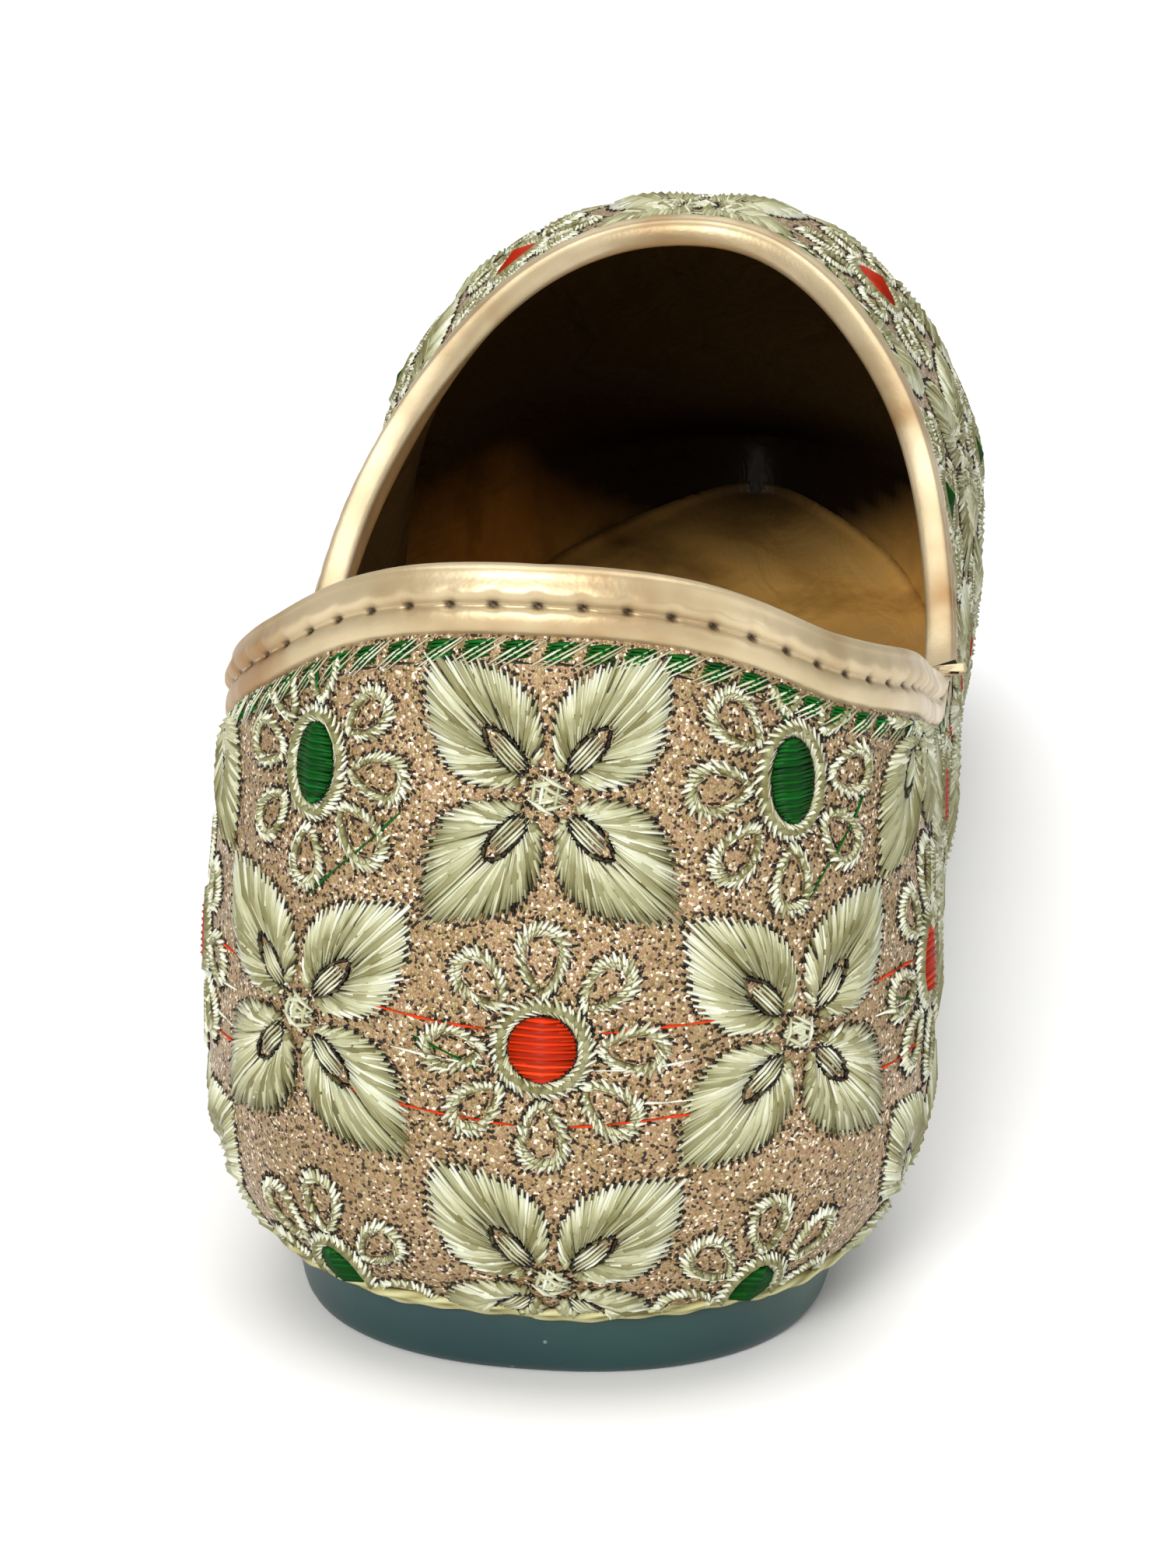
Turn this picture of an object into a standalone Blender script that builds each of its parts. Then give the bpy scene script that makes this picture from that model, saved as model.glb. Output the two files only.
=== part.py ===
"""A slip-on mojari for the left foot: one hollow upper on a low moulded sole, a folded binding and an insole.

Units are metres. +Y points to the toe, +Z up, and -X is the outer side of the foot. The origin is on the
ground under the middle of the heel. "Along" is a distance from the back of the heel towards the toe.
"""

import math

import bmesh
import bpy
import numpy as np

# Sizes of the whole shoe.
LENGTH = 0.276
HEEL_WIDTH = 0.072
BALL_WIDTH = 0.078
INSTEP_HEIGHT = 0.0816
HEEL_CENTRE = 0.0365
NOSE_LENGTH = 0.030

# Shape of the wall: the widest line stands BELLY_HEIGHT over the ground at the heel, SWELL outside the sole.
BELLY_HEIGHT = 0.0268
SWELL = 0.0092
HEEL_SQUARENESS = 2.2
NOSE_SQUARENESS = 2.0

# The top edge, as seen from the side.
BACK_HEIGHT = 0.0815
SIDE_HEIGHT = 0.0548
THROAT_ALONG = 0.1505

# Thicknesses, and the running gap between pieces that touch.
WALL = 0.0022
SOLE_THICKNESS = 0.0070
SOLE_PROUD = 0.0005
SOLE_TAPER = 0.0009
SOLE_EDGE_ROUND = 0.0012
BREAST_CLEAR = 0.002
BINDING_THICKNESS = 0.0006
BINDING_DEPTH = 0.0054
REBATE = 0.0005
INSOLE_THICKNESS = 0.0028
TURN_IN = 0.0070
GAP = 0.0003

# Where the column layout changes from the upright quarter to the fanned vamp.
QUARTER_ALONG = 0.078
QUARTER_COLUMNS = 14
VAMP_COLUMNS = 24
TOE_CROWDING = 1.5
WALL_ROWS = 14
TUCK_ROWS = 4

LATERAL = -1
MEDIAL = 1

# One row for each section of the last, from heel to toe.
# along: share of LENGTH. ball: how far the width follows BALL_WIDTH instead of HEEL_WIDTH.
# lateral, medial: half width as a share of half that width. swell, belly: shares of SWELL and BELLY_HEIGHT.
# crown: top of the last as a share of INSTEP_HEIGHT. fullness: exponent of the arch between belly and crown.
# seat: height of the sole's top as a share of SOLE_THICKNESS.
SECTION_COLUMNS = ("along", "ball", "lateral", "medial", "swell", "belly", "crown", "fullness", "seat")
SECTIONS = (
    (0.00, 0.0, 1.00, 1.00, 1.00, 1.00, 1.83, 1.76, 1.00),
    (0.13, 0.0, 0.985, 1.00, 1.00, 1.00, 1.83, 1.76, 1.00),
    (0.25, 0.0, 0.96, 0.97, 0.97, 0.98, 1.61, 1.82, 1.00),
    (0.38, 0.5, 1.005, 0.93, 0.92, 1.08, 1.24, 2.38, 1.00),
    (0.51, 1.0, 0.95, 0.88, 0.83, 1.20, 1.04, 2.16, 0.86),
    (0.58, 1.0, 0.965, 0.88, 0.76, 1.28, 1.02, 2.19, 0.75),
    (0.63, 1.0, 1.02, 0.88, 0.70, 1.36, 1.01, 2.25, 0.71),
    (0.70, 1.0, 1.11, 0.89, 0.66, 1.45, 0.91, 2.15, 0.70),
    (0.82, 1.0, 0.98, 0.83, 0.56, 1.20, 0.64, 2.10, 0.92),
    (0.92, 1.0, 0.70, 0.63, 0.48, 1.03, 0.47, 2.05, 1.50),
    (1.00, 1.0, 0.42, 0.40, 0.42, 1.05, 0.41, 2.00, 2.20),
)

# Height of the top edge. along: share of THROAT_ALONG. back, side, throat: shares of the three named heights.
# inner: what the inner side of the foot adds, as a share of SIDE_HEIGHT.
TOPLINE_COLUMNS = ("along", "back", "side", "inner", "throat")
TOPLINE = (
    (-0.030, 1.030, 0.00, 0.000, 0.00),
    (0.027, 1.000, 0.00, 0.000, 0.00),
    (0.110, 0.880, 0.00, 0.015, 0.00),
    (0.221, 0.440, 0.482, 0.075, 0.00),
    (0.443, 0.000, 0.925, 0.080, 0.00),
    (0.638, 0.000, 0.845, 0.022, 0.00),
    (0.812, 0.000, 0.47, 0.000, 0.40),
    (1.000, 0.000, 0.00, 0.000, 1.00),
)

# Clearance of the tread from the ground. along: share of LENGTH. lift: share of SOLE_THICKNESS.
TREAD_COLUMNS = ("along", "lift")
TREAD = (
    (0.000, 0.00),
    (0.232, 0.00),
    (0.248, 0.34),
    (0.400, 0.38),
    (0.530, 0.00),
    (0.720, 0.00),
    (0.820, 0.30),
    (0.920, 1.02),
    (1.000, 1.82),
)

COLOURS = {
    "outsole": ((0.040, 0.100, 0.105), 0.42, 0.0),
    "upper": ((0.420, 0.350, 0.250), 0.55, 0.35),
    "collar_binding": ((0.640, 0.480, 0.270), 0.34, 0.45),
    "insole": ((0.400, 0.270, 0.130), 0.50, 0.10),
}


def column_of(rows, names, name):
    """One named column of a table as an array."""
    return np.array([row[names.index(name)] for row in rows], float)


def smooth(xs, ys, at):
    """A smooth curve through the points (xs, ys) that doesn't overshoot them, read at one or more places."""
    at = np.asarray(at, float)
    steps = np.diff(xs)
    slopes = np.diff(ys) / steps
    before, after = slopes[:-1], slopes[1:]
    rising = before * after > 0
    safe_before = np.where(rising, before, 1.0)
    safe_after = np.where(rising, after, 1.0)
    weight_before = 2 * steps[1:] + steps[:-1]
    weight_after = steps[1:] + 2 * steps[:-1]
    mean = (weight_before + weight_after) / (weight_before / safe_before + weight_after / safe_after)
    tangents = np.concatenate([slopes[:1], np.where(rising, mean, 0.0), slopes[-1:]])
    k = np.clip(np.searchsorted(xs, at) - 1, 0, len(steps) - 1)
    t = np.clip((at - xs[k]) / steps[k], 0, 1)
    return (
        (2 * t**3 - 3 * t**2 + 1) * ys[k]
        + (t**3 - 2 * t**2 + t) * steps[k] * tangents[k]
        + (3 * t**2 - 2 * t**3) * ys[k + 1]
        + (t**3 - t**2) * steps[k] * tangents[k + 1]
    )


def section(name, along):
    """A column of SECTIONS at a distance from the back of the heel."""
    places = column_of(SECTIONS, SECTION_COLUMNS, "along") * LENGTH
    return smooth(places, column_of(SECTIONS, SECTION_COLUMNS, name), along)


def half_width(along, side):
    """Half the width of the last at its widest line, before the heel and nose are rounded."""
    ball = section("ball", along)
    width = (1 - ball) * HEEL_WIDTH + ball * BALL_WIDTH
    share = np.where(np.asarray(side) < 0, section("lateral", along), section("medial", along))
    return width / 2 * share


def end_share(along):
    """0 in the body of the shoe, and 1 at the back of the heel and the tip of the nose."""
    heel = (HEEL_CENTRE - along) / HEEL_CENTRE
    nose = (along - (LENGTH - NOSE_LENGTH)) / NOSE_LENGTH
    return np.clip(np.maximum(heel, nose), 0, 1)


def squareness(along):
    return np.where(np.asarray(along) < LENGTH / 2, HEEL_SQUARENESS, NOSE_SQUARENESS)


def seat_height(along):
    return SOLE_THICKNESS * section("seat", along)


def belly_height(along):
    return BELLY_HEIGHT * section("belly", along)


def crown_height(along):
    return INSTEP_HEIGHT * section("crown", along)


def tread_height(along):
    places = column_of(TREAD, TREAD_COLUMNS, "along") * LENGTH
    return SOLE_THICKNESS * smooth(places, column_of(TREAD, TREAD_COLUMNS, "lift"), along)


def topline_height(along, side):
    """Height of the upper's top edge on one side of the foot."""
    throat = crown_height(THROAT_ALONG)
    heights = (
        BACK_HEIGHT * column_of(TOPLINE, TOPLINE_COLUMNS, "back")
        + SIDE_HEIGHT * column_of(TOPLINE, TOPLINE_COLUMNS, "side")
        + throat * column_of(TOPLINE, TOPLINE_COLUMNS, "throat")
    )
    if side == MEDIAL:
        heights = heights + SIDE_HEIGHT * column_of(TOPLINE, TOPLINE_COLUMNS, "inner")
    return smooth(column_of(TOPLINE, TOPLINE_COLUMNS, "along") * THROAT_ALONG, heights, along)


def last_height(x, along, side):
    """Height of the last's upper surface over a point in plan, inside its widest line."""
    m = squareness(along)
    reach = ((np.abs(x) / half_width(along, side)) ** m + end_share(along) ** m) ** (1 / m)
    p = section("fullness", along)
    belly, crown = belly_height(along), crown_height(along)
    return belly + (crown - belly) * np.maximum(1 - np.minimum(reach, 1) ** p, 0) ** (1 / p)


def reach_at_topline(along, side):
    """How far out the last is at the height of the top edge, as a share of its widest line."""
    p = section("fullness", along)
    belly, crown = belly_height(along), crown_height(along)
    rise = np.clip((topline_height(along, side) - belly) / (crown - belly), 0, 1)
    return np.maximum(1 - rise**p, 0) ** (1 / p)


def spaced_ends(first, last, count):
    """Places from first to last that crowd towards both ends."""
    return first + (last - first) * (1 - np.cos(np.linspace(0, math.pi, count))) / 2


def topline_curve(side, count=500):
    """The top edge of one side, from the middle of the back to the middle of the throat."""
    back = np.linspace(0, HEEL_CENTRE, 900)
    start = back[np.argmax(reach_at_topline(back, side) >= end_share(back))]
    along = spaced_ends(start, THROAT_ALONG, count)
    m = squareness(along)
    reach = reach_at_topline(along, side)
    x = half_width(along, side) * np.maximum(reach**m - end_share(along) ** m, 0) ** (1 / m)
    x[0] = x[-1] = 0
    return np.column_stack([side * x, along, topline_height(along, side)])


def widest_curve(side, count=700):
    """The widest line of one side, from the middle of the back to the tip of the nose."""
    along = spaced_ends(0, LENGTH, count)
    m = squareness(along)
    x = half_width(along, side) * np.maximum(1 - end_share(along) ** m, 0) ** (1 / m)
    return np.column_stack([side * x, along, belly_height(along)])


def along_curve(points, shares):
    """Points at the given shares of a polyline's length."""
    lengths = np.concatenate([[0], np.cumsum(np.linalg.norm(np.diff(points, axis=0), axis=1))])
    return np.column_stack([np.interp(shares * lengths[-1], lengths, points[:, i]) for i in range(3)])


def split_shares(points, quarter_shares, vamp_shares):
    """Points of a curve spaced on each side of QUARTER_ALONG by two lists of shares."""
    cut = int(np.argmax(points[:, 1] >= QUARTER_ALONG))
    return np.concatenate([along_curve(points[: cut + 1], quarter_shares), along_curve(points[cut:], vamp_shares)])


def side_ends(side):
    """Top edge points and widest line points of one side's columns, from the back to the front."""
    quarter = np.linspace(0, 1, QUARTER_COLUMNS + 1)
    vamp = np.linspace(0, 1, VAMP_COLUMNS + 1)[1:]
    top = split_shares(topline_curve(side), quarter, vamp)
    widest = split_shares(widest_curve(side), quarter, 1 - (1 - vamp) ** TOE_CROWDING)
    return top, widest


def ring_ends():
    """Top edge and widest line points all round: back, outer side, toe, inner side. Also each column's side."""
    outer_top, outer_widest = side_ends(LATERAL)
    inner_top, inner_widest = side_ends(MEDIAL)
    top = np.concatenate([outer_top, inner_top[-2:0:-1]])
    widest = np.concatenate([outer_widest, inner_widest[-2:0:-1]])
    sides = np.concatenate([np.full(len(outer_top), LATERAL), np.full(len(inner_top) - 2, MEDIAL)])
    return top, widest, sides


def plan_normals(ring):
    """Outward normals, in plan, of a closed ring that runs from the back round by the outer side."""
    tangent = np.roll(ring, -1, axis=0)[:, :2] - np.roll(ring, 1, axis=0)[:, :2]
    tangent /= np.linalg.norm(tangent, axis=1)[:, None]
    return np.column_stack([-tangent[:, 1], tangent[:, 0], np.zeros(len(ring))])


def side_share(x, along, side):
    return np.abs(x) / half_width(along, side)


def wall_column(edge, foot, side, count=60):
    """Points on the last from one top edge point down to its widest line point."""
    p = float(section("fullness", foot[1]))
    belly, crown = belly_height(edge[1]), crown_height(edge[1])
    start = math.asin(float(np.clip((edge[2] - belly) / (crown - belly), 0, 1)) ** (p / 2))
    share = (1 - np.cos(start * np.linspace(1, 0, count)) ** (2 / p)) / (1 - math.cos(start) ** (2 / p))
    along = foot[1] + (edge[1] - foot[1]) * share
    out_edge = side_share(edge[0], edge[1], side)
    out_foot = side_share(foot[0], foot[1], side)
    x = side * half_width(along, side) * (out_foot + (out_edge - out_foot) * share)
    heights = last_height(x, along, side)
    heights[0], heights[-1] = edge[2], foot[2]
    return np.column_stack([x, along, heights])


def wall_columns():
    """For each column of the ring, the wall's rows: three in the binding's rebate, then even ones downwards."""
    columns = []
    for edge, foot, side in zip(*ring_ends()):
        points = wall_column(edge, foot, side)
        lengths = np.concatenate([[0], np.cumsum(np.linalg.norm(np.diff(points, axis=0), axis=1))])
        below = np.linspace(BINDING_DEPTH + REBATE + GAP, lengths[-1], WALL_ROWS - 2)
        rows = [0, BINDING_DEPTH / 2, BINDING_DEPTH, *below]
        columns.append(np.column_stack([np.interp(rows, lengths, points[:, i]) for i in range(3)]))
    return np.array(columns)


def grid_normals(grid):
    """Outward unit normals of a grid of points that is closed in its first direction and runs downwards."""
    around = np.roll(grid, -1, axis=0) - np.roll(grid, 1, axis=0)
    down = np.gradient(grid, axis=1)
    normal = np.cross(around, down)
    return normal / np.linalg.norm(normal, axis=2)[:, :, None]


def tuck_rows(start, out, reach, height):
    """Rows from a widest line down and in by reach, level where they end at a height over the sole's top."""
    foot = on_seat(start - out * reach[:, None], height)
    drop = start[:, 2] - foot[:, 2]
    rows = []
    for turn in np.linspace(0, math.pi / 2, TUCK_ROWS + 1)[1:]:
        inward = out * (reach * (1 - math.cos(turn)))[:, None]
        rows.append(start - inward - np.outer(drop * math.sin(turn), (0, 0, 1)))
    return rows


def tuck_sizes(ring):
    """For each column: swell of the outside, swell of the inside, and how far in the turned-in margin ends."""
    swell = SWELL * section("swell", ring[:, 1])
    inner_swell = np.maximum(swell - WALL, WALL / 3)
    turn_in = TURN_IN * np.clip(np.abs(ring[:, 0]) / (HEEL_WIDTH / 3), 0.1, 1) ** 2
    heel = ring[:, 1] < HEEL_CENTRE
    turn_in[heel] = TURN_IN
    return swell, inner_swell, WALL + inner_swell + WALL / 2 + turn_in


def on_seat(plan, height):
    """Points in plan at a height over the sole's top."""
    return np.column_stack([plan[:, :2], seat_height(plan[:, 1]) + height])


def wall_grids():
    """Outer and inner surfaces of the upper from the top edge to the end of the turned-in margin."""
    wall = wall_columns()
    ring = wall[:, -1]
    out = plan_normals(ring)
    swell, inner_swell, end = tuck_sizes(ring)
    normals = grid_normals(wall)
    inside = wall - normals * WALL
    inside[:, -1] = ring - out * WALL
    wall[:, :3] -= normals[:, :3] * REBATE
    inside[:, :3] += normals[:, :3] * REBATE
    outer = [wall[:, i] for i in range(WALL_ROWS + 1)]
    outer += tuck_rows(ring, out, swell, 0)
    inner = [inside[:, i] for i in range(WALL_ROWS + 1)]
    inner += tuck_rows(inside[:, -1], out, inner_swell, WALL)
    edge = ring - out * end[:, None]
    outer.append(on_seat(edge, 0))
    inner.append(on_seat(edge, WALL))
    return np.stack(outer, axis=1), np.stack(inner, axis=1)


def place(points):
    """Points measured from the back of the heel, moved to the origin under the middle of the heel."""
    return points - np.array([0, HEEL_CENTRE, 0])


def new_object(name, rings, caps=()):
    """A closed mesh from rings of points joined in order. With no caps the last ring joins the first."""
    count = len(rings[0])
    points = place(np.concatenate(rings))
    faces = []
    last = len(rings) - 1 if caps else len(rings)
    for r in range(last):
        here, there = r * count, (r + 1) % len(rings) * count
        for k in range(count):
            n = (k + 1) % count
            faces.append((here + k, here + n, there + n, there + k))
    for ring in caps:
        faces += cap_faces(ring * count, count)
    mesh = bpy.data.meshes.new(name)
    mesh.from_pydata([tuple(p) for p in points], [], faces)
    bm = bmesh.new()
    bm.from_mesh(mesh)
    bmesh.ops.recalc_face_normals(bm, faces=bm.faces)
    bm.to_mesh(mesh)
    bm.free()
    mesh.shade_smooth()
    mesh.set_sharp_from_angle(angle=math.radians(50))
    obj = bpy.data.objects.new(name, mesh)
    bpy.context.scene.collection.objects.link(obj)
    obj.data.materials.append(material_for(name))
    return obj


def cap_faces(start, count):
    """Faces across a ring, in strips from its back to its toe."""
    half = count // 2
    faces = [(start, start + 1, start + count - 1), (start + half - 1, start + half, start + half + 1)]
    for k in range(1, half - 1):
        faces.append((start + k, start + k + 1, start + count - k - 1, start + count - k))
    return faces


def material_for(name):
    colour, roughness, metallic = COLOURS[name]
    material = bpy.data.materials.new(name)
    material.use_nodes = True
    shader = material.node_tree.nodes["Principled BSDF"]
    shader.inputs["Base Color"].default_value = (*colour, 1)
    shader.inputs["Roughness"].default_value = roughness
    shader.inputs["Metallic"].default_value = metallic
    return material


def make_upper():
    """The hollow upper: vamp, quarters and the margin turned in under the insole, as one wall."""
    outer, inner = wall_grids()
    rings = [outer[:, i] for i in range(outer.shape[1])]
    rings += [inner[:, i] for i in reversed(range(inner.shape[1]))]
    return new_object("upper", rings)


def make_binding():
    """The folded leather strip over the top edge: an outer leaf, a rolled top and an inner leaf."""
    outer, inner = (grid[:, :3] for grid in wall_grids())
    across = outer - inner
    across /= np.linalg.norm(across, axis=2)[:, :, None]
    up = outer[:, 0] - outer[:, 1]
    up /= np.linalg.norm(up, axis=1)[:, None]
    middle = (outer[:, 0] + inner[:, 0]) / 2

    def profile(offset, turns):
        """One face of the folded strip, from the foot of its outer leaf to the foot of its inner leaf."""
        rings = [outer[:, i] + across[:, i] * offset for i in (2, 1, 0)]
        for turn in np.linspace(0, math.pi, turns + 2)[1:-1]:
            sideways = math.copysign(abs(math.cos(turn)) ** 0.6, math.cos(turn)) * (WALL / 2 - REBATE + offset)
            rings.append(middle + across[:, 0] * sideways + up * math.sin(turn) ** 0.6 * offset)
        return rings + [inner[:, i] - across[:, i] * offset for i in (0, 1, 2)]

    rings = profile(GAP + BINDING_THICKNESS, 5) + profile(GAP, 3)[::-1]
    return new_object("collar_binding", rings)


def sole_ring():
    """The feather line that the sole follows, with extra columns where the heel steps up to the waist."""
    crowded = spaced_ends(0, LENGTH, 34)[1:-1]
    breast = LENGTH * column_of(TREAD, TREAD_COLUMNS, "along")[1:3]
    clear = np.min(np.abs(crowded[:, None] - breast), axis=1) > BREAST_CLEAR
    stations = np.sort(np.concatenate([crowded[clear], breast]))
    curves = {}
    for side in (LATERAL, MEDIAL):
        curve = widest_curve(side, 1500)
        cells = np.column_stack([np.interp(stations, curve[:, 1], curve[:, i]) for i in range(3)])
        curves[side] = np.concatenate([curve[:1], cells, curve[-1:]])
    return np.concatenate([curves[LATERAL], curves[MEDIAL][-2:0:-1]])


def make_outsole():
    """The moulded rubber sole: flat under heel and ball, a step at the heel breast, and toe spring."""
    ring = sole_ring()
    out = plan_normals(ring)
    swell = SWELL * section("swell", ring[:, 1])
    edge = ring - out * (swell - SOLE_PROUD)[:, None]

    def lowered(inset, drop):
        """The edge moved in by an inset. drop is 0 at the sole's top and 1 at the tread."""
        moved = edge - out * inset
        seat = seat_height(moved[:, 1]) - GAP
        return np.column_stack([moved[:, :2], seat + (tread_height(ring[:, 1]) - seat) * drop])

    corner = SOLE_EDGE_ROUND / SOLE_THICKNESS
    rings = [
        lowered(0, 0),
        lowered(SOLE_TAPER / 2, 0.5),
        lowered(SOLE_TAPER, 1 - corner),
        lowered(SOLE_TAPER + SOLE_EDGE_ROUND * 0.3, 1 - corner * 0.3),
        lowered(SOLE_TAPER + SOLE_EDGE_ROUND, 1),
    ]
    return new_object("outsole", rings, caps=(0, len(rings) - 1))


def make_insole():
    """The insole: a brim over the turned-in margin, and a core that fills the space inside it."""
    outer, inner = wall_grids()
    ring = outer[:, WALL_ROWS]
    out = plan_normals(ring)
    tuck = inner[:, WALL_ROWS:-1]
    core = outer[:, -1] - out * 2 * GAP

    def brim(height):
        """The insole's edge at a height over the turned-in margin, one gap inside the wall."""
        cells = []
        for column in tuck:
            rising = column[::-1]
            level = min(rising[0, 2] + height, rising[-1, 2])
            cells.append([np.interp(level, rising[:, 2], rising[:, i]) for i in (0, 1)])
        return on_seat(np.array(cells) - out[:, :2] * GAP * 1.5, WALL + height)

    rings = [brim(GAP + INSOLE_THICKNESS), brim(GAP), on_seat(core, WALL + GAP), on_seat(core, 0)]
    return new_object("insole", rings, caps=(0, len(rings) - 1))


def main():
    for obj in list(bpy.data.objects):
        bpy.data.objects.remove(obj)
    for make in (make_outsole, make_upper, make_binding, make_insole):
        make()


main()
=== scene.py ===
"""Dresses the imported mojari: glitter fabric, thread embroidery, leather binding, lining, insole and sole.

Sizes are metres unless a name says mm. +Y points to the toe, -X is the outer side of the left foot.
"""

import math

import bpy
import numpy as np
from mathutils import Matrix


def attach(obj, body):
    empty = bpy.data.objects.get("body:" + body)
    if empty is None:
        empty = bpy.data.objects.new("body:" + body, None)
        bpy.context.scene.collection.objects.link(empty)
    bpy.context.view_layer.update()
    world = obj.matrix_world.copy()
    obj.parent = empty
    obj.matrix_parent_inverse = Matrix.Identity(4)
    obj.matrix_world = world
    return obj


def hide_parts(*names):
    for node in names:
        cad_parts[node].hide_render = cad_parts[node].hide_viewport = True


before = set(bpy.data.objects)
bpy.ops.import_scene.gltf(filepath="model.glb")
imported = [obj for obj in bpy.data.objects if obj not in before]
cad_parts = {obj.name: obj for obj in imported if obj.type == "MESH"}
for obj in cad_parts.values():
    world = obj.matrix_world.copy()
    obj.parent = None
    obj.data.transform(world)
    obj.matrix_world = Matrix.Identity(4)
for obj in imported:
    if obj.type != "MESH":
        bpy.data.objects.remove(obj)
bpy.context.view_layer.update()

bl_info = {
    "name": "Mojari shoe",
    "version": (1, 0, 0),
    "blender": (4, 5, 0),
    "location": "View3D > Sidebar > Mojari",
    "description": "Builds an embroidered mojari shoe round its packed solids",
    "category": "Mesh",
}

MM = 0.001
BODY = "root"
LATERAL = -1
MEDIAL = 1
SEED = 20

# Rebate in the wall that the binding sits in.
REBATE = 0.5 * MM
# The quarters' chart ends and the vamp's begins here, measured from the back of the heel.
SEAM_ALONG = 0.108
CHART_STEP = 0.001
VAMP_STEP = 0.0015
# Columns of the wall's grids on each side, behind and ahead of the quarters' end.
QUARTER_COLUMNS = 70
VAMP_COLUMNS = 110

# Way the camera looks, and its roll in degrees, as solved from the outlines of heel, collar and vamp.
CAMERA_AHEAD = (-0.10234, 0.94452, -0.31211)
CAMERA_ROLL = 0.967

# One row for each section of the last. along: share of the length. ball: how far the width follows the ball.
# The other columns are shares of the half width, swell, belly height, instep height and sole thickness;
# fullness is the exponent of the arch between belly and crown.
SECTION_COLUMNS = ("along", "ball", "lateral", "medial", "swell", "belly", "crown", "fullness", "seat")
SECTIONS = (
    (0.00, 0.0, 1.00, 1.00, 1.00, 1.00, 1.83, 1.76, 1.00),
    (0.13, 0.0, 0.985, 1.00, 1.00, 1.00, 1.83, 1.76, 1.00),
    (0.25, 0.0, 0.96, 0.97, 0.97, 0.98, 1.61, 1.82, 1.00),
    (0.38, 0.5, 1.005, 0.93, 0.92, 1.08, 1.24, 2.38, 1.00),
    (0.51, 1.0, 0.95, 0.88, 0.83, 1.20, 1.04, 2.16, 0.86),
    (0.58, 1.0, 0.965, 0.88, 0.76, 1.28, 1.02, 2.19, 0.75),
    (0.63, 1.0, 1.02, 0.88, 0.70, 1.36, 1.01, 2.25, 0.71),
    (0.70, 1.0, 1.11, 0.89, 0.66, 1.45, 0.91, 2.15, 0.70),
    (0.82, 1.0, 0.98, 0.83, 0.56, 1.20, 0.64, 2.10, 0.92),
    (0.92, 1.0, 0.70, 0.63, 0.48, 1.03, 0.47, 2.05, 1.50),
    (1.00, 1.0, 0.42, 0.40, 0.42, 1.05, 0.41, 2.00, 2.20),
)

# Height of the top edge. along: share of the throat's place. back, side, throat: shares of the named heights.
# inner: what the inner side of the foot adds, as a share of the side height.
TOPLINE_COLUMNS = ("along", "back", "side", "inner", "throat")
TOPLINE = (
    (-0.030, 1.030, 0.00, 0.000, 0.00),
    (0.027, 1.000, 0.00, 0.000, 0.00),
    (0.110, 0.880, 0.00, 0.015, 0.00),
    (0.221, 0.440, 0.482, 0.075, 0.00),
    (0.443, 0.000, 0.925, 0.080, 0.00),
    (0.638, 0.000, 0.845, 0.022, 0.00),
    (0.812, 0.000, 0.47, 0.000, 0.40),
    (1.000, 0.000, 0.00, 0.000, 1.00),
)

# Clearance of the tread from the ground. along: share of the length. lift: share of the sole's thickness.
TREAD_COLUMNS = ("along", "lift")
TREAD = (
    (0.000, 0.00),
    (0.232, 0.00),
    (0.248, 0.34),
    (0.400, 0.38),
    (0.530, 0.00),
    (0.720, 0.00),
    (0.820, 0.30),
    (0.920, 1.02),
    (1.000, 1.82),
)


def length_property(name, description, default):
    return bpy.props.FloatProperty(
        name=name,
        description=description,
        default=default,
        min=0,
        precision=4,
        subtype="DISTANCE",
        unit="LENGTH",
    )


def colour_property(name, description, default):
    as_hex = description + ", as an sRGB hex value"
    return bpy.props.StringProperty(name=name, description=as_hex, default=default)


def number_property(name, description, default):
    return bpy.props.FloatProperty(name=name, description=description, default=default)


class LastSizes(bpy.types.PropertyGroup):
    """Sizes of the shoe, as in the part's source."""

    length: length_property("Length", "Back of the heel to the tip of the toe", 0.276)
    heel_width: length_property("Heel width", "Widest line of the heel", 0.072)
    ball_width: length_property("Ball width", "Width at the ball", 0.078)
    instep_height: length_property("Instep height", "Top of the last at the throat", 0.0816)
    heel_centre: length_property("Heel centre", "Middle of the heel from its back", 0.0365)
    nose_length: length_property("Nose length", "Rounded tip of the toe", 0.030)
    belly_height: length_property("Belly height", "Widest line over the ground", 0.0268)
    swell: length_property("Swell", "How far the upper bulges over the sole", 0.0092)
    back_height: length_property("Back height", "Top edge at the back", 0.0815)
    side_height: length_property("Side height", "Top edge at the waist", 0.0548)
    throat_along: length_property("Throat", "Top edge's front from the back of the heel", 0.1505)
    wall: length_property("Wall", "Thickness of fabric and lining together", 0.0022)
    sole_thickness: length_property("Sole thickness", "Sole under the heel", 0.0070)
    gap: length_property("Gap", "Running gap between pieces", 0.0003)
    binding_depth: length_property("Binding depth", "Binding below the top edge", 0.0054)
    insole_thickness: length_property("Insole thickness", "Brim of the insole", 0.0028)


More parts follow.
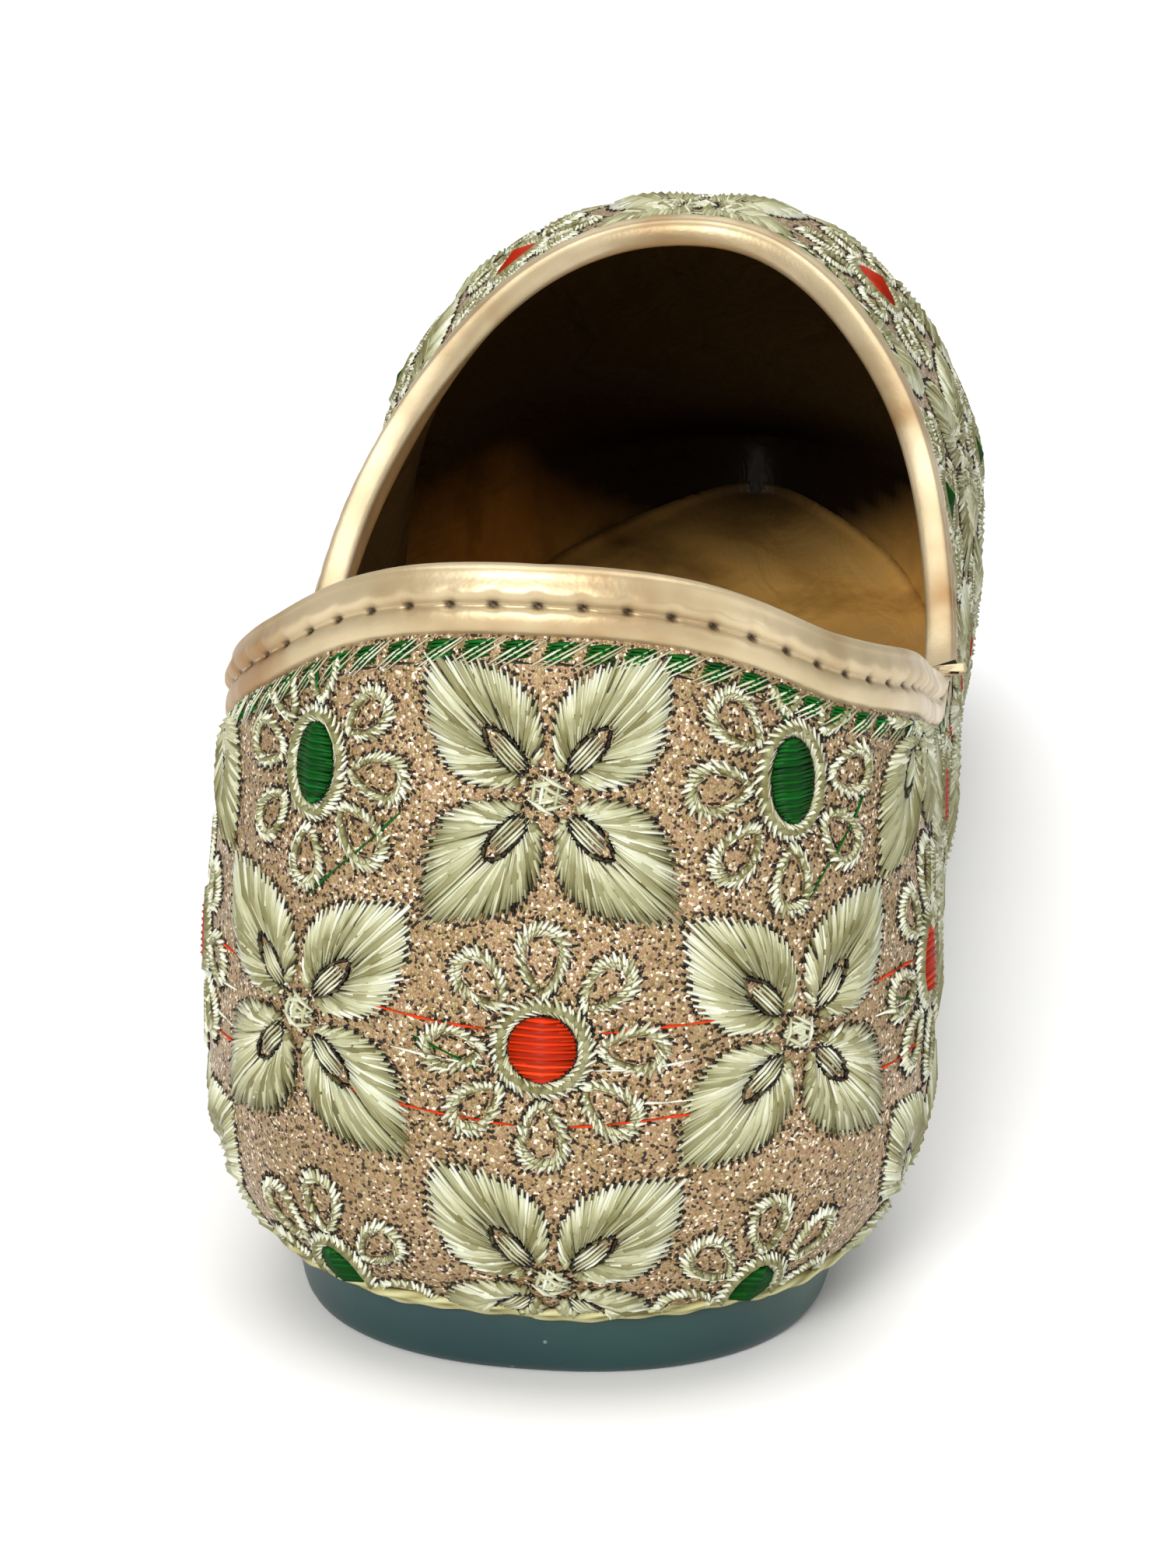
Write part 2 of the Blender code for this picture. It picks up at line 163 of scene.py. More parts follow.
class ThreadSettings(bpy.types.PropertyGroup):
    """Sizes and colours of the embroidery."""

    pitch_around: length_property("Pitch around", "Motif to motif round the heel", 0.0252)
    pitch_up: length_property("Pitch up", "Motif row to motif row", 0.0241)
    first_row: length_property("First row", "Height of the top row over the sole, along the wall", 0.0580)
    sideways: length_property("Sideways", "Middle motif from the back seam line", 0.0015)
    pale: colour_property("Pale floss", "Main embroidery thread", "#B0B08C")
    # The bright end of the pale floss also carries painted highlight, olive carries painted shade on strands
    # turned from the light, and the needle holes' near black is painted shade in holes and gaps between
    # strands.
    bright: colour_property("Bright floss", "Lightest strands", "#DCDECC")
    olive: colour_property("Olive floss", "Strands that are turned from the light", "#726D42")
    dark: colour_property("Needle holes", "Dark between the strands", "#171208")
    orange: colour_property("Orange floss", "Round flower centres", "#CC3006")
    green: colour_property("Green floss", "Oval flower centres and border", "#04500C")


class LeatherSettings(bpy.types.PropertyGroup):
    """Colours of the leather, fabric, rubber and cord."""

    binding: colour_property("Binding", "Pale gold metallic leather", "#B6A481")
    binding_shade: colour_property("Binding shade", "Rubbed and folded parts", "#947348")
    # The lining colour is painted shade: near black, mixed by tone into the lining high up and towards the
    # toe, and into the insole's toe, where the inside of the shoe lies in shade.
    lining: colour_property("Lining", "Darkest part of the leather inside the upper", "#150C05")
    insole: colour_property("Insole", "Gold brown leather underfoot", "#EAB45E")
    sole: colour_property("Sole", "Teal rubber", "#123838")
    ground_low: colour_property("Ground, dark", "Dark yarn of the glitter fabric", "#38291A")
    ground_mid: colour_property("Ground, middle", "Rose gold yarn", "#AB9476")
    ground_high: colour_property("Ground, bright", "Foil that catches the light", "#F0E6D8")
    cord: colour_property("Edge cord", "Cord along the sole", "#A8A26C")
    stitch_pitch: length_property("Stitch pitch", "Hole to hole on the binding", 0.0041)


class StageSettings(bpy.types.PropertyGroup):
    """Camera, light and floor."""

    focal: number_property("Focal length", "Lens in millimetres for a frame 36 mm wide", 147.0)
    camera_x: length_property("Camera X", "Camera's place across the shoe", 0.04971)
    camera_y: number_property("Camera Y", "Camera's place along the shoe", -0.44597)
    camera_z: length_property("Camera Z", "Camera's height", 0.19846)
    key_power: number_property("Key light", "Power of the soft light behind the camera, in watts", 13.5)
    fill_power: number_property("Fill light", "Power of the soft light at the right, in watts", 2.0)
    overhead_strength: number_property("Overhead light", "Strength of the wide light from above", 2.6)
    surround: number_property("Surround", "Strength of the white surroundings", 0.42)
    floor: colour_property("Floor", "Pale paper floor", "#F4F4F4")


def smooth(xs, ys, at):
    """A smooth curve through the points (xs, ys) that doesn't overshoot them, read at one or more places."""
    at = np.asarray(at, float)
    steps = np.diff(xs)
    slopes = np.diff(ys) / steps
    before, after = slopes[:-1], slopes[1:]
    rising = before * after > 0
    safe_before = np.where(rising, before, 1.0)
    safe_after = np.where(rising, after, 1.0)
    weight_before = 2 * steps[1:] + steps[:-1]
    weight_after = steps[1:] + 2 * steps[:-1]
    mean = (weight_before + weight_after) / (weight_before / safe_before + weight_after / safe_after)
    tangents = np.concatenate([slopes[:1], np.where(rising, mean, 0.0), slopes[-1:]])
    k = np.clip(np.searchsorted(xs, at) - 1, 0, len(steps) - 1)
    t = np.clip((at - xs[k]) / steps[k], 0, 1)
    return (
        (2 * t**3 - 3 * t**2 + 1) * ys[k]
        + (t**3 - 2 * t**2 + t) * steps[k] * tangents[k]
        + (3 * t**2 - 2 * t**3) * ys[k + 1]
        + (t**3 - t**2) * steps[k] * tangents[k + 1]
    )


def column_of(rows, names, name):
    return np.array([row[names.index(name)] for row in rows], float)


def unit(vectors):
    return vectors / np.maximum(np.linalg.norm(vectors, axis=-1), 1e-12)[..., None]


def lengths_of(points):
    """Distance along a polyline at each of its points."""
    return np.concatenate([[0], np.cumsum(np.linalg.norm(np.diff(points, axis=0), axis=1))])


def read_curve(points, lengths, at):
    return np.column_stack([np.interp(at, lengths, points[:, i]) for i in range(points.shape[1])])


def outward_in_plan(tangents, side):
    """Unit vectors in plan away from the shoe, for tangents that run towards the toe on one side."""
    turned = np.stack([-tangents[..., 1], tangents[..., 0]], axis=-1)
    return turned * (1 if side < 0 else -1)


def crowded(first, last, count):
    """Places from first to last that crowd towards both ends."""
    return first + (last - first) * (1 - np.cos(np.linspace(0, math.pi, count))) / 2


class Last:
    """The form that the upper is pulled over. Along is measured from the back of the heel."""

    heel_squareness = 2.2
    nose_squareness = 2.0
    quarter_along = 0.078

    def __init__(self, sizes):
        self.size = sizes

    def section(self, name, along):
        places = column_of(SECTIONS, SECTION_COLUMNS, "along") * self.size.length
        return smooth(places, column_of(SECTIONS, SECTION_COLUMNS, name), along)

    def half_width(self, along, side):
        ball = self.section("ball", along)
        width = (1 - ball) * self.size.heel_width + ball * self.size.ball_width
        lateral, medial = self.section("lateral", along), self.section("medial", along)
        return width / 2 * np.where(np.asarray(side) < 0, lateral, medial)

    def end_share(self, along):
        heel = (self.size.heel_centre - along) / self.size.heel_centre
        nose = (along - (self.size.length - self.size.nose_length)) / self.size.nose_length
        return np.clip(np.maximum(heel, nose), 0, 1)

    def squareness(self, along):
        return np.where(np.asarray(along) < self.size.length / 2, self.heel_squareness, self.nose_squareness)

    def seat(self, along):
        return self.size.sole_thickness * self.section("seat", along)

    def belly(self, along):
        return self.size.belly_height * self.section("belly", along)

    def crown(self, along):
        return self.size.instep_height * self.section("crown", along)

    def swell(self, along):
        return self.size.swell * self.section("swell", along)

    def tread(self, along):
        places = column_of(TREAD, TREAD_COLUMNS, "along") * self.size.length
        return self.size.sole_thickness * smooth(places, column_of(TREAD, TREAD_COLUMNS, "lift"), along)

    def topline(self, along, side):
        heights = (
            self.size.back_height * column_of(TOPLINE, TOPLINE_COLUMNS, "back")
            + self.size.side_height * column_of(TOPLINE, TOPLINE_COLUMNS, "side")
            + self.crown(self.size.throat_along) * column_of(TOPLINE, TOPLINE_COLUMNS, "throat")
        )
        inner = heights + self.size.side_height * column_of(TOPLINE, TOPLINE_COLUMNS, "inner")
        places = column_of(TOPLINE, TOPLINE_COLUMNS, "along") * self.size.throat_along
        return np.where(np.asarray(side) < 0, smooth(places, heights, along), smooth(places, inner, along))

    def height(self, x, along, side):
        """Height of the last's upper surface over a point in plan."""
        m = self.squareness(along)
        reach = ((np.abs(x) / self.half_width(along, side)) ** m + self.end_share(along) ** m) ** (1 / m)
        p = self.section("fullness", along)
        belly, crown = self.belly(along), self.crown(along)
        return belly + (crown - belly) * np.maximum(1 - np.minimum(reach, 1) ** p, 0) ** (1 / p)

    def widest_curve(self, side, count=1500):
        along = crowded(0, self.size.length, count)
        m = self.squareness(along)
        x = self.half_width(along, side) * np.maximum(1 - self.end_share(along) ** m, 0) ** (1 / m)
        return np.column_stack([side * x, along, self.belly(along)])

    def topline_reach(self, along, side):
        p = self.section("fullness", along)
        belly, crown = self.belly(along), self.crown(along)
        rise = np.clip((self.topline(along, side) - belly) / (crown - belly), 0, 1)
        return np.maximum(1 - rise**p, 0) ** (1 / p)

    def topline_curve(self, side, count=1200):
        back = np.linspace(0, self.size.heel_centre, 900)
        start = back[np.argmax(self.topline_reach(back, side) >= self.end_share(back))]
        along = crowded(start, self.size.throat_along, count)
        m = self.squareness(along)
        inside = np.maximum(self.topline_reach(along, side) ** m - self.end_share(along) ** m, 0)
        x = self.half_width(along, side) * inside ** (1 / m)
        x[0] = x[-1] = 0
        return np.column_stack([side * x, along, self.topline(along, side)])

    def plan_normals(self, ring):
        """Outward normals, in plan, of a closed ring that runs from the back round by the outer side."""
        tangent = np.roll(ring, -1, axis=0)[:, :2] - np.roll(ring, 1, axis=0)[:, :2]
        tangent = unit(tangent)
        return np.column_stack([-tangent[:, 1], tangent[:, 0], np.zeros(len(ring))])

    def side_ends(self, side, quarter_columns, vamp_columns):
        quarter = np.linspace(0, 1, quarter_columns + 1)
        vamp = np.linspace(0, 1, vamp_columns + 1)[1:]
        crowded_to_toe = 1 - (1 - vamp) ** 1.5
        ends = []
        for curve, shares in ((self.topline_curve(side), vamp), (self.widest_curve(side), crowded_to_toe)):
            cut = int(np.argmax(curve[:, 1] >= self.quarter_along))
            parts = []
            for part, at in ((curve[: cut + 1], quarter), (curve[cut:], shares)):
                lengths = lengths_of(part)
                parts.append(read_curve(part, lengths, at * lengths[-1]))
            ends.append(np.concatenate(parts))
        return ends

    def ring_ends(self, quarter_columns, vamp_columns):
        """Top edge and widest line all round: back, outer side, toe, inner side."""
        outer = self.side_ends(LATERAL, quarter_columns, vamp_columns)
        inner = self.side_ends(MEDIAL, quarter_columns, vamp_columns)
        top = np.concatenate([outer[0], inner[0][-2:0:-1]])
        widest = np.concatenate([outer[1], inner[1][-2:0:-1]])
        sides = np.concatenate([np.full(len(outer[0]), LATERAL), np.full(len(inner[0]) - 2, MEDIAL)])
        return top, widest, sides

    def wall_column(self, edge, foot, side, count=70):
        """Points on the last from one top edge point down to its widest line point."""
        p = float(self.section("fullness", foot[1]))
        belly, crown = self.belly(edge[1]), self.crown(edge[1])
        start = math.asin(float(np.clip((edge[2] - belly) / (crown - belly), 0, 1)) ** (p / 2))
        share = (1 - np.cos(start * np.linspace(1, 0, count)) ** (2 / p)) / (1 - math.cos(start) ** (2 / p))
        along = foot[1] + (edge[1] - foot[1]) * share
        out_edge = abs(edge[0]) / self.half_width(edge[1], side)
        out_foot = abs(foot[0]) / self.half_width(foot[1], side)
        x = side * self.half_width(along, side) * (out_foot + (out_edge - out_foot) * share)
        heights = self.height(x, along, side)
        heights[0], heights[-1] = edge[2], foot[2]
        return np.column_stack([x, along, heights])


def grid_normals(grid, closed=True):
    """Outward unit normals of a grid whose columns follow each other round the shoe and run downwards."""
    if closed:
        around = np.roll(grid, -1, axis=0) - np.roll(grid, 1, axis=0)
    else:
        around = np.gradient(grid, axis=0)
    return unit(np.cross(around, np.gradient(grid, axis=1)))


def uneven(points):
    """Slight hand-lasted unevenness of the wall, as a distance along its normal."""
    x, y, z = (points[..., i] / MM for i in range(3))
    wave = np.sin(x / 9.1 + 1.3) * np.sin(y / 12.7 + z / 10.3)
    wave = wave + 0.6 * np.sin(z / 6.7 + y / 21.0) * np.sin(x / 6.1)
    height = 0.16
    return wave * height * MM


def to_origin(points, last):
    """Points measured from the back of the heel, moved to the part's own origin."""
    return points - np.array([0, last.size.heel_centre, 0])


class Chart:
    """A patch of the upper with flat coordinates: across and up, on an even grid."""

    def __init__(self, grid, start, step, last, closed=False):
        normals = grid_normals(grid, closed)
        inside_height = 30 * MM
        middle = np.array([0, 1, 0]) * grid[..., 1:2] + np.array([0, 0, inside_height])
        if np.mean(np.sum(normals * (grid - middle), axis=-1)) < 0:
            normals = -normals
        self.grid = grid + normals * uneven(grid)[..., None]
        self.normals = normals
        self.start = np.array(start)
        self.step = np.array(step)
        self.closed = closed
        edge = np.concatenate([last.topline_curve(LATERAL, 260), last.topline_curve(MEDIAL, 260)[::-1]])
        away = np.empty(grid.shape[:2])
        for i, row in enumerate(grid):
            away[i] = np.sqrt(((row[:, None, :] - edge[None]) ** 2).sum(-1)).min(1)
        over_edge = grid[..., 2] > last.topline(grid[..., 1], grid[..., 0])
        above = over_edge & (grid[..., 1] < last.size.throat_along)
        self.from_edge = np.where(above, -away, away)

    def corners(self, places):
        """Grid cells and weights for bilinear reading at places of shape (n, 2)."""
        at = (places - self.start) / self.step
        count = self.grid.shape[0]
        if self.closed:
            at[:, 0] = np.mod(at[:, 0], count)
        else:
            at[:, 0] = np.clip(at[:, 0], 0, count - 1.001)
        at[:, 1] = np.clip(at[:, 1], 0, self.grid.shape[1] - 1.001)
        i, j = np.floor(at).astype(int).T
        return i, (i + 1) % count if self.closed else i + 1, j, j + 1, at[:, 0] - i, at[:, 1] - j

    def read(self, field, places):
        i0, i1, j0, j1, a, b = self.corners(places)
        if field.ndim == 3:
            a, b = a[:, None], b[:, None]
        low = field[i0, j0] * (1 - a) + field[i1, j0] * a
        high = field[i0, j1] * (1 - a) + field[i1, j1] * a
        return low * (1 - b) + high * b

    def lift(self, places, heights):
        """Points at heights over the surface."""
        return self.read(self.grid, places) + unit(self.read(self.normals, places)) * heights[:, None]


def tuck(last, widest, out, count, bottom_first):
    """The curve from the widest line down and in to the sole, for one column."""
    swell = float(last.swell(widest[1]))
    seat = float(last.seat(widest[1] - out[1] * swell))
    turn = np.linspace(0, math.pi / 2, count)[1:]
    reach = swell * (1 - np.cos(turn))
    drop = (widest[2] - seat) * np.sin(turn)
    rows = np.column_stack([widest[0] - out[0] * reach, widest[1] - out[1] * reach, widest[2] - drop])
    return rows[::-1] if bottom_first else rows


def distance_round(last, along):
    """Distance round the widest line in plan, from the back by the outer side to a place along the shoe."""
    curve = last.widest_curve(LATERAL)
    return float(np.interp(along, curve[:, 1], lengths_of(curve[:, :2])))


def quarter_chart(last):
    """Across: distance round the widest line, inner side positive. Up: distance up the wall from the sole."""
    reach = {}
    for side in (LATERAL, MEDIAL):
        curve = last.widest_curve(side)
        lengths = lengths_of(curve[:, :2])
        reach[side] = (curve, lengths)
    overlap = 4 * MM
    count = int(distance_round(last, SEAM_ALONG + overlap) / (2 * CHART_STEP))
    across = np.arange(-count, count + 1) * 2 * CHART_STEP
    ups = np.arange(0, 0.096, CHART_STEP)
    grid = np.empty((len(across), len(ups), 3))
    near = 0.0012
    for i, s in enumerate(across):
        side = LATERAL if s < 0 else MEDIAL
        curve, lengths = reach[side]
        widest = read_curve(curve, lengths, [abs(s)])[0]
        ahead = read_curve(curve, lengths, [abs(s) + near])[0]
        behind = read_curve(curve, lengths, [abs(abs(s) - near)])[0]
        if abs(s) < near:
            behind[0] = -behind[0]
        out = outward_in_plan(unit((ahead - behind)[:2]), side)
        longest_reach = 30 * MM
        inward = np.linspace(0, 1, 160)[1:] ** 2.4 * longest_reach
        plan = widest[:2] - out * inward[:, None]
        wall = np.column_stack([plan, last.height(plan[:, 0], plan[:, 1], side)])
        column = np.concatenate([tuck(last, widest, out, 20, True), widest[None], wall])
        grid[i] = read_curve(column, lengths_of(column), ups)
    return Chart(grid[:, ::-1], (across[0], ups[-1]), (2 * CHART_STEP, -CHART_STEP), last)


def vamp_chart(last):
    """Across: distance from the ridge down each side, inner side positive. Up: distance from the back."""
    alongs = np.arange(SEAM_ALONG - 4 * MM, last.size.length - 0.8 * MM, VAMP_STEP)
    across = np.arange(0, 0.104, CHART_STEP)
    halves = {}
    feet = {}
    for side in (LATERAL, MEDIAL):
        curve = last.widest_curve(side)
        tangents = np.gradient(curve[:, :2], axis=0)
        rows = []
        feet[side] = []
        for y in alongs:
            widest = np.array([np.interp(y, curve[:, 1], curve[:, i]) for i in range(3)])
            tangent = unit(np.array([np.interp(y, curve[:, 1], tangents[:, i]) for i in range(2)]))
            out = outward_in_plan(tangent, side)
            share = 1 - np.linspace(1, 0, 160)[:-1] ** 2.2
            x = widest[0] * share
            wall = np.column_stack([x, np.full(len(x), y), last.height(x, np.full(len(x), y), side)])
            column = np.concatenate([wall, widest[None], tuck(last, widest, out, 20, False)])
            lengths = lengths_of(column)
            feet[side].append(lengths[-1])
            rows.append(read_curve(column, lengths, across))
        halves[side] = np.array(rows)
    grid = np.concatenate([halves[LATERAL][:, :0:-1], halves[MEDIAL]], axis=1)
    chart = Chart(np.swapaxes(grid, 0, 1), (-across[-1], alongs[0]), (CHART_STEP, VAMP_STEP), last)
    from_foot = np.empty(chart.grid.shape[:2])
    signed = np.arange(-len(across) + 1, len(across)) * CHART_STEP
    for i, a in enumerate(signed):
        from_foot[i] = np.array(feet[LATERAL if a < 0 else MEDIAL]) - abs(a)
    chart.from_foot = from_foot
    return chart


def edge_chart(last, columns=1200, depth=0.014):
    """Across: distance round the top edge from its back by the outer side. Up: depth below the edge."""
    top, widest, sides = last.ring_ends(QUARTER_COLUMNS, VAMP_COLUMNS)
    depths = np.arange(0, depth, CHART_STEP / 2)
    wall = []
    for edge, foot, side in zip(top, widest, sides):
        points = last.wall_column(edge, foot, side)
        wall.append(read_curve(points, lengths_of(points), depths))
    wall = np.array(wall)
    ring = np.concatenate([wall, wall[:1]])
    lengths = lengths_of(ring[:, 6])
    at = np.linspace(0, lengths[-1], columns + 1)[:-1]
    even = np.stack([read_curve(ring[:, j], lengths, at) for j in range(len(depths))], axis=1)
    chart = Chart(even, (0, 0), (lengths[-1] / columns, CHART_STEP / 2), last, closed=True)
    chart.around = lengths[-1]
    return chart


def new_mesh(name, points, faces, last, tone=None):
    """A mesh object from points and equal-sided faces, with an optional value for each point."""
    mesh = bpy.data.meshes.new(name)
    faces = np.asarray(faces, np.int32)
    mesh.vertices.add(len(points))
    mesh.vertices.foreach_set("co", to_origin(points, last).astype(np.float32).ravel())
    mesh.loops.add(faces.size)
    mesh.loops.foreach_set("vertex_index", faces.ravel())
    mesh.polygons.add(len(faces))
    mesh.polygons.foreach_set("loop_start", np.arange(0, faces.size, faces.shape[1], dtype=np.int32))
    mesh.polygons.foreach_set("use_smooth", np.ones(len(faces), bool))
    if tone is not None:
        mesh.attributes.new("tone", "FLOAT", "POINT").data.foreach_set("value", tone.astype(np.float32))
    mesh.update(calc_edges=True)
    mesh.validate()
    obj = bpy.data.objects.new(name, mesh)
    bpy.context.scene.collection.objects.link(obj)
    return obj


def grid_faces(columns, rows, closed_rows):
    """Quads of a grid that is closed round its columns, and round its rows too if closed_rows."""
    i = np.arange(columns)[:, None]
    j = np.arange(rows if closed_rows else rows - 1)[None]
    i1, j1 = (i + 1) % columns, (j + 1) % rows
    quads = np.stack([i * rows + j, i1 * rows + j, i1 * rows + j1, i * rows + j1], axis=-1)
    return quads.reshape(-1, 4)


def outward(obj):
    """Turns a closed mesh's faces outwards."""
    bpy.ops.object.select_all(action="DESELECT")
    bpy.context.view_layer.objects.active = obj
    obj.select_set(True)
    bpy.ops.object.mode_set(mode="EDIT")
    bpy.ops.mesh.select_all(action="SELECT")
    bpy.ops.mesh.normals_make_consistent(inside=False)
    bpy.ops.object.mode_set(mode="OBJECT")
    obj.select_set(False)


def shell(name, outer, inner, last, tone=None, back_tone=0.0):
    """A closed thin wall from an outer and an inner grid whose columns go all round the shoe."""
    grid = np.concatenate([outer, inner[:, ::-1]], axis=1)
    values = None
    if tone is not None:
        values = np.concatenate([tone, np.full(inner.shape[:2], back_tone)], axis=1).ravel()
    obj = new_mesh(name, grid.reshape(-1, 3), grid_faces(grid.shape[0], grid.shape[1], True), last, values)
    outward(obj)
    return obj


def colour(hex_value):
    """An sRGB hex value as the linear colour that shaders take."""
    parts = [int(hex_value[i:i + 2], 16) / 255 for i in (1, 3, 5)]
    linear = [c / 12.92 if c <= 0.04045 else ((c + 0.055) / 1.055) ** 2.4 for c in parts]
    return (*linear, 1.0)


def new_material(name):
    material = bpy.data.materials.new(name)
    material.use_nodes = True
    return material, material.node_tree.nodes["Principled BSDF"]


def add_node(tree, kind, links=None, stops=(), **settings):
    """Adds a node. A setting is an attribute, or else the value of the input with that name.

    links are the sockets that feed its inputs, and stops are a colour ramp's places and colours.
    """
    node = tree.nodes.new(kind)
    for key, value in settings.items():
        if hasattr(node, key):
            setattr(node, key, value)
    for key, value in settings.items():
        if not hasattr(node, key):
            node.inputs[key.replace("_", " ")].default_value = value
    for key, source in (links or {}).items():
        tree.links.new(source, node.inputs[key])
    for _ in stops[2:]:
        node.color_ramp.elements.new(0.5)
    for i, (place, value) in enumerate(stops):
        node.color_ramp.elements[i].position = place
        node.color_ramp.elements[i].color = value
    return node


def grey(value):
    return (value, value, value, 1.0)


def repeats(size):
    """Texture scale for grains, clouds or folds about this many millimetres across."""
    return 1 / (size * MM)


def glitter_fabric(colours):
    """Tissue fabric woven with foil yarn: flat metal flakes about 0.3 mm long, each turned its own way.

    The real flakes are finer; these are drawn as coarse as they need to be to show.
    """
    material, shader = new_material("rose_gold_glitter_fabric")
    tree = material.node_tree
    place = add_node(tree, "ShaderNodeTexCoord").outputs["Object"]
    wobble = add_node(tree, "ShaderNodeTexNoise", {"Vector": place}, Scale=repeats(1.111), Detail=1.0)
    flakes = add_node(tree, "ShaderNodeTexVoronoi", {"Vector": place}, Scale=repeats(0.27))
    pick = add_node(tree, "ShaderNodeSeparateColor", {"Color": flakes.outputs["Color"]})
    low = colour(colours.ground_low)
    mid = colour(colours.ground_mid)
    high = colour(colours.ground_high)
    yarns = [(0.0, low), (0.14, low), (0.20, mid), (0.42, colour("#B5A78A"))]
    yarns += [(0.60, colour("#8A7846")), (0.74, colour("#A58A78")), (0.90, mid), (0.95, high)]
    flake_colour = add_node(tree, "ShaderNodeValToRGB", {"Fac": pick.outputs["Red"]}, yarns)
    patch = add_node(tree, "ShaderNodeTexNoise", {"Vector": place}, Scale=repeats(6.667), Detail=3.0)
    warmth = [(0.38, colour("#857651")), (0.62, colour("#A8947E"))]
    warm = add_node(tree, "ShaderNodeValToRGB", {"Fac": patch.outputs["Fac"]}, warmth)
    mixed = add_node(
        tree,
        "ShaderNodeMix",
        {"A": flake_colour.outputs["Color"], "B": warm.outputs["Color"]},
        data_type="RGBA",
        blend_type="SOFT_LIGHT",
        Factor=0.7,
    )
    tree.links.new(mixed.outputs["Result"], shader.inputs["Base Color"])
    gloss = [(0.0, grey(0.32)), (1.0, grey(0.56))]
    rough = add_node(tree, "ShaderNodeValToRGB", {"Fac": pick.outputs["Green"]}, gloss)
    tree.links.new(rough.outputs["Color"], shader.inputs["Roughness"])
    tilts = {0: pick.outputs["Blue"], 1: wobble.outputs["Fac"]}
    facets = add_node(tree, "ShaderNodeMath", tilts, operation="ADD")
    tilted = add_node(tree, "ShaderNodeBump", {"Height": facets.outputs[0]}, Strength=0.9, Distance=0.24 * MM)
    cells = add_node(
        tree,
        "ShaderNodeBump",
        {"Height": flakes.outputs["Distance"], "Normal": tilted.outputs["Normal"]},
        Strength=0.6,
        Distance=0.22 * MM,
        invert=True,
    )
    tree.links.new(cells.outputs["Normal"], shader.inputs["Normal"])
    shader.inputs["Metallic"].default_value = 0.4
    shader.inputs["Specular IOR Level"].default_value = 0.5
    return material


def floss(name, stops, roughness=0.36, gloss=0.30):
    """Untwisted rayon floss: soft and glossy, each strand a little lighter or darker than the next; the tone
    also carries painted highlight and shade along and between strands.
    """
    material, shader = new_material(name)
    tree = material.node_tree
    tone = add_node(tree, "ShaderNodeAttribute", attribute_name="tone")
    dye = add_node(tree, "ShaderNodeValToRGB", {"Fac": tone.outputs["Fac"]}, stops)
    tree.links.new(dye.outputs["Color"], shader.inputs["Base Color"])
    shader.inputs["Roughness"].default_value = roughness
    shader.inputs["Specular IOR Level"].default_value = gloss
    return material


def gold_leather(colours):
    """Thin sheepskin with a pale gold foil finish: soft gloss, fine pebbled grain, rubbed darker at folds."""
    material, shader = new_material("pale_gold_foiled_leather")
    tree = material.node_tree
    place = add_node(tree, "ShaderNodeTexCoord").outputs["Object"]
    cloud = add_node(tree, "ShaderNodeTexNoise", {"Vector": place}, Scale=repeats(14.286), Detail=3.0)
    foil = [(0.30, colour(colours.binding_shade)), (0.50, colour(colours.binding)), (0.75, colour("#D2C0A0"))]
    body = add_node(tree, "ShaderNodeValToRGB", {"Fac": cloud.outputs["Fac"]}, foil)
    # The tone attribute mixes in near black: painted shade in the stitch holes and along the stitch groove.
    tone = add_node(tree, "ShaderNodeAttribute", attribute_name="tone")
    hole_shading = add_node(
        tree,
        "ShaderNodeMix",
        {"Factor": tone.outputs["Fac"], "A": body.outputs["Color"]},
        data_type="RGBA",
        B=colour("#2E1C0C"),
    )
    tree.links.new(hole_shading.outputs["Result"], shader.inputs["Base Color"])
    grain = add_node(tree, "ShaderNodeTexVoronoi", {"Vector": place}, Scale=repeats(0.5))
    creases = add_node(tree, "ShaderNodeTexNoise", {"Vector": place}, Scale=repeats(3.846), Detail=4.0)
    fine = add_node(
        tree, "ShaderNodeBump", {"Height": grain.outputs["Distance"]}, Strength=0.12, Distance=0.1 * MM
    )
    soft = add_node(
        tree,
        "ShaderNodeBump",
        {"Height": creases.outputs["Fac"], "Normal": fine.outputs["Normal"]},
        Strength=0.16,
        Distance=0.5 * MM,
    )
    tree.links.new(soft.outputs["Normal"], shader.inputs["Normal"])
    gloss = [(0.3, grey(0.46)), (0.7, grey(0.36))]
    rough = add_node(tree, "ShaderNodeValToRGB", {"Fac": cloud.outputs["Fac"]}, gloss)
    tree.links.new(rough.outputs["Color"], shader.inputs["Roughness"])
    shader.inputs["Metallic"].default_value = 0.55
    return material


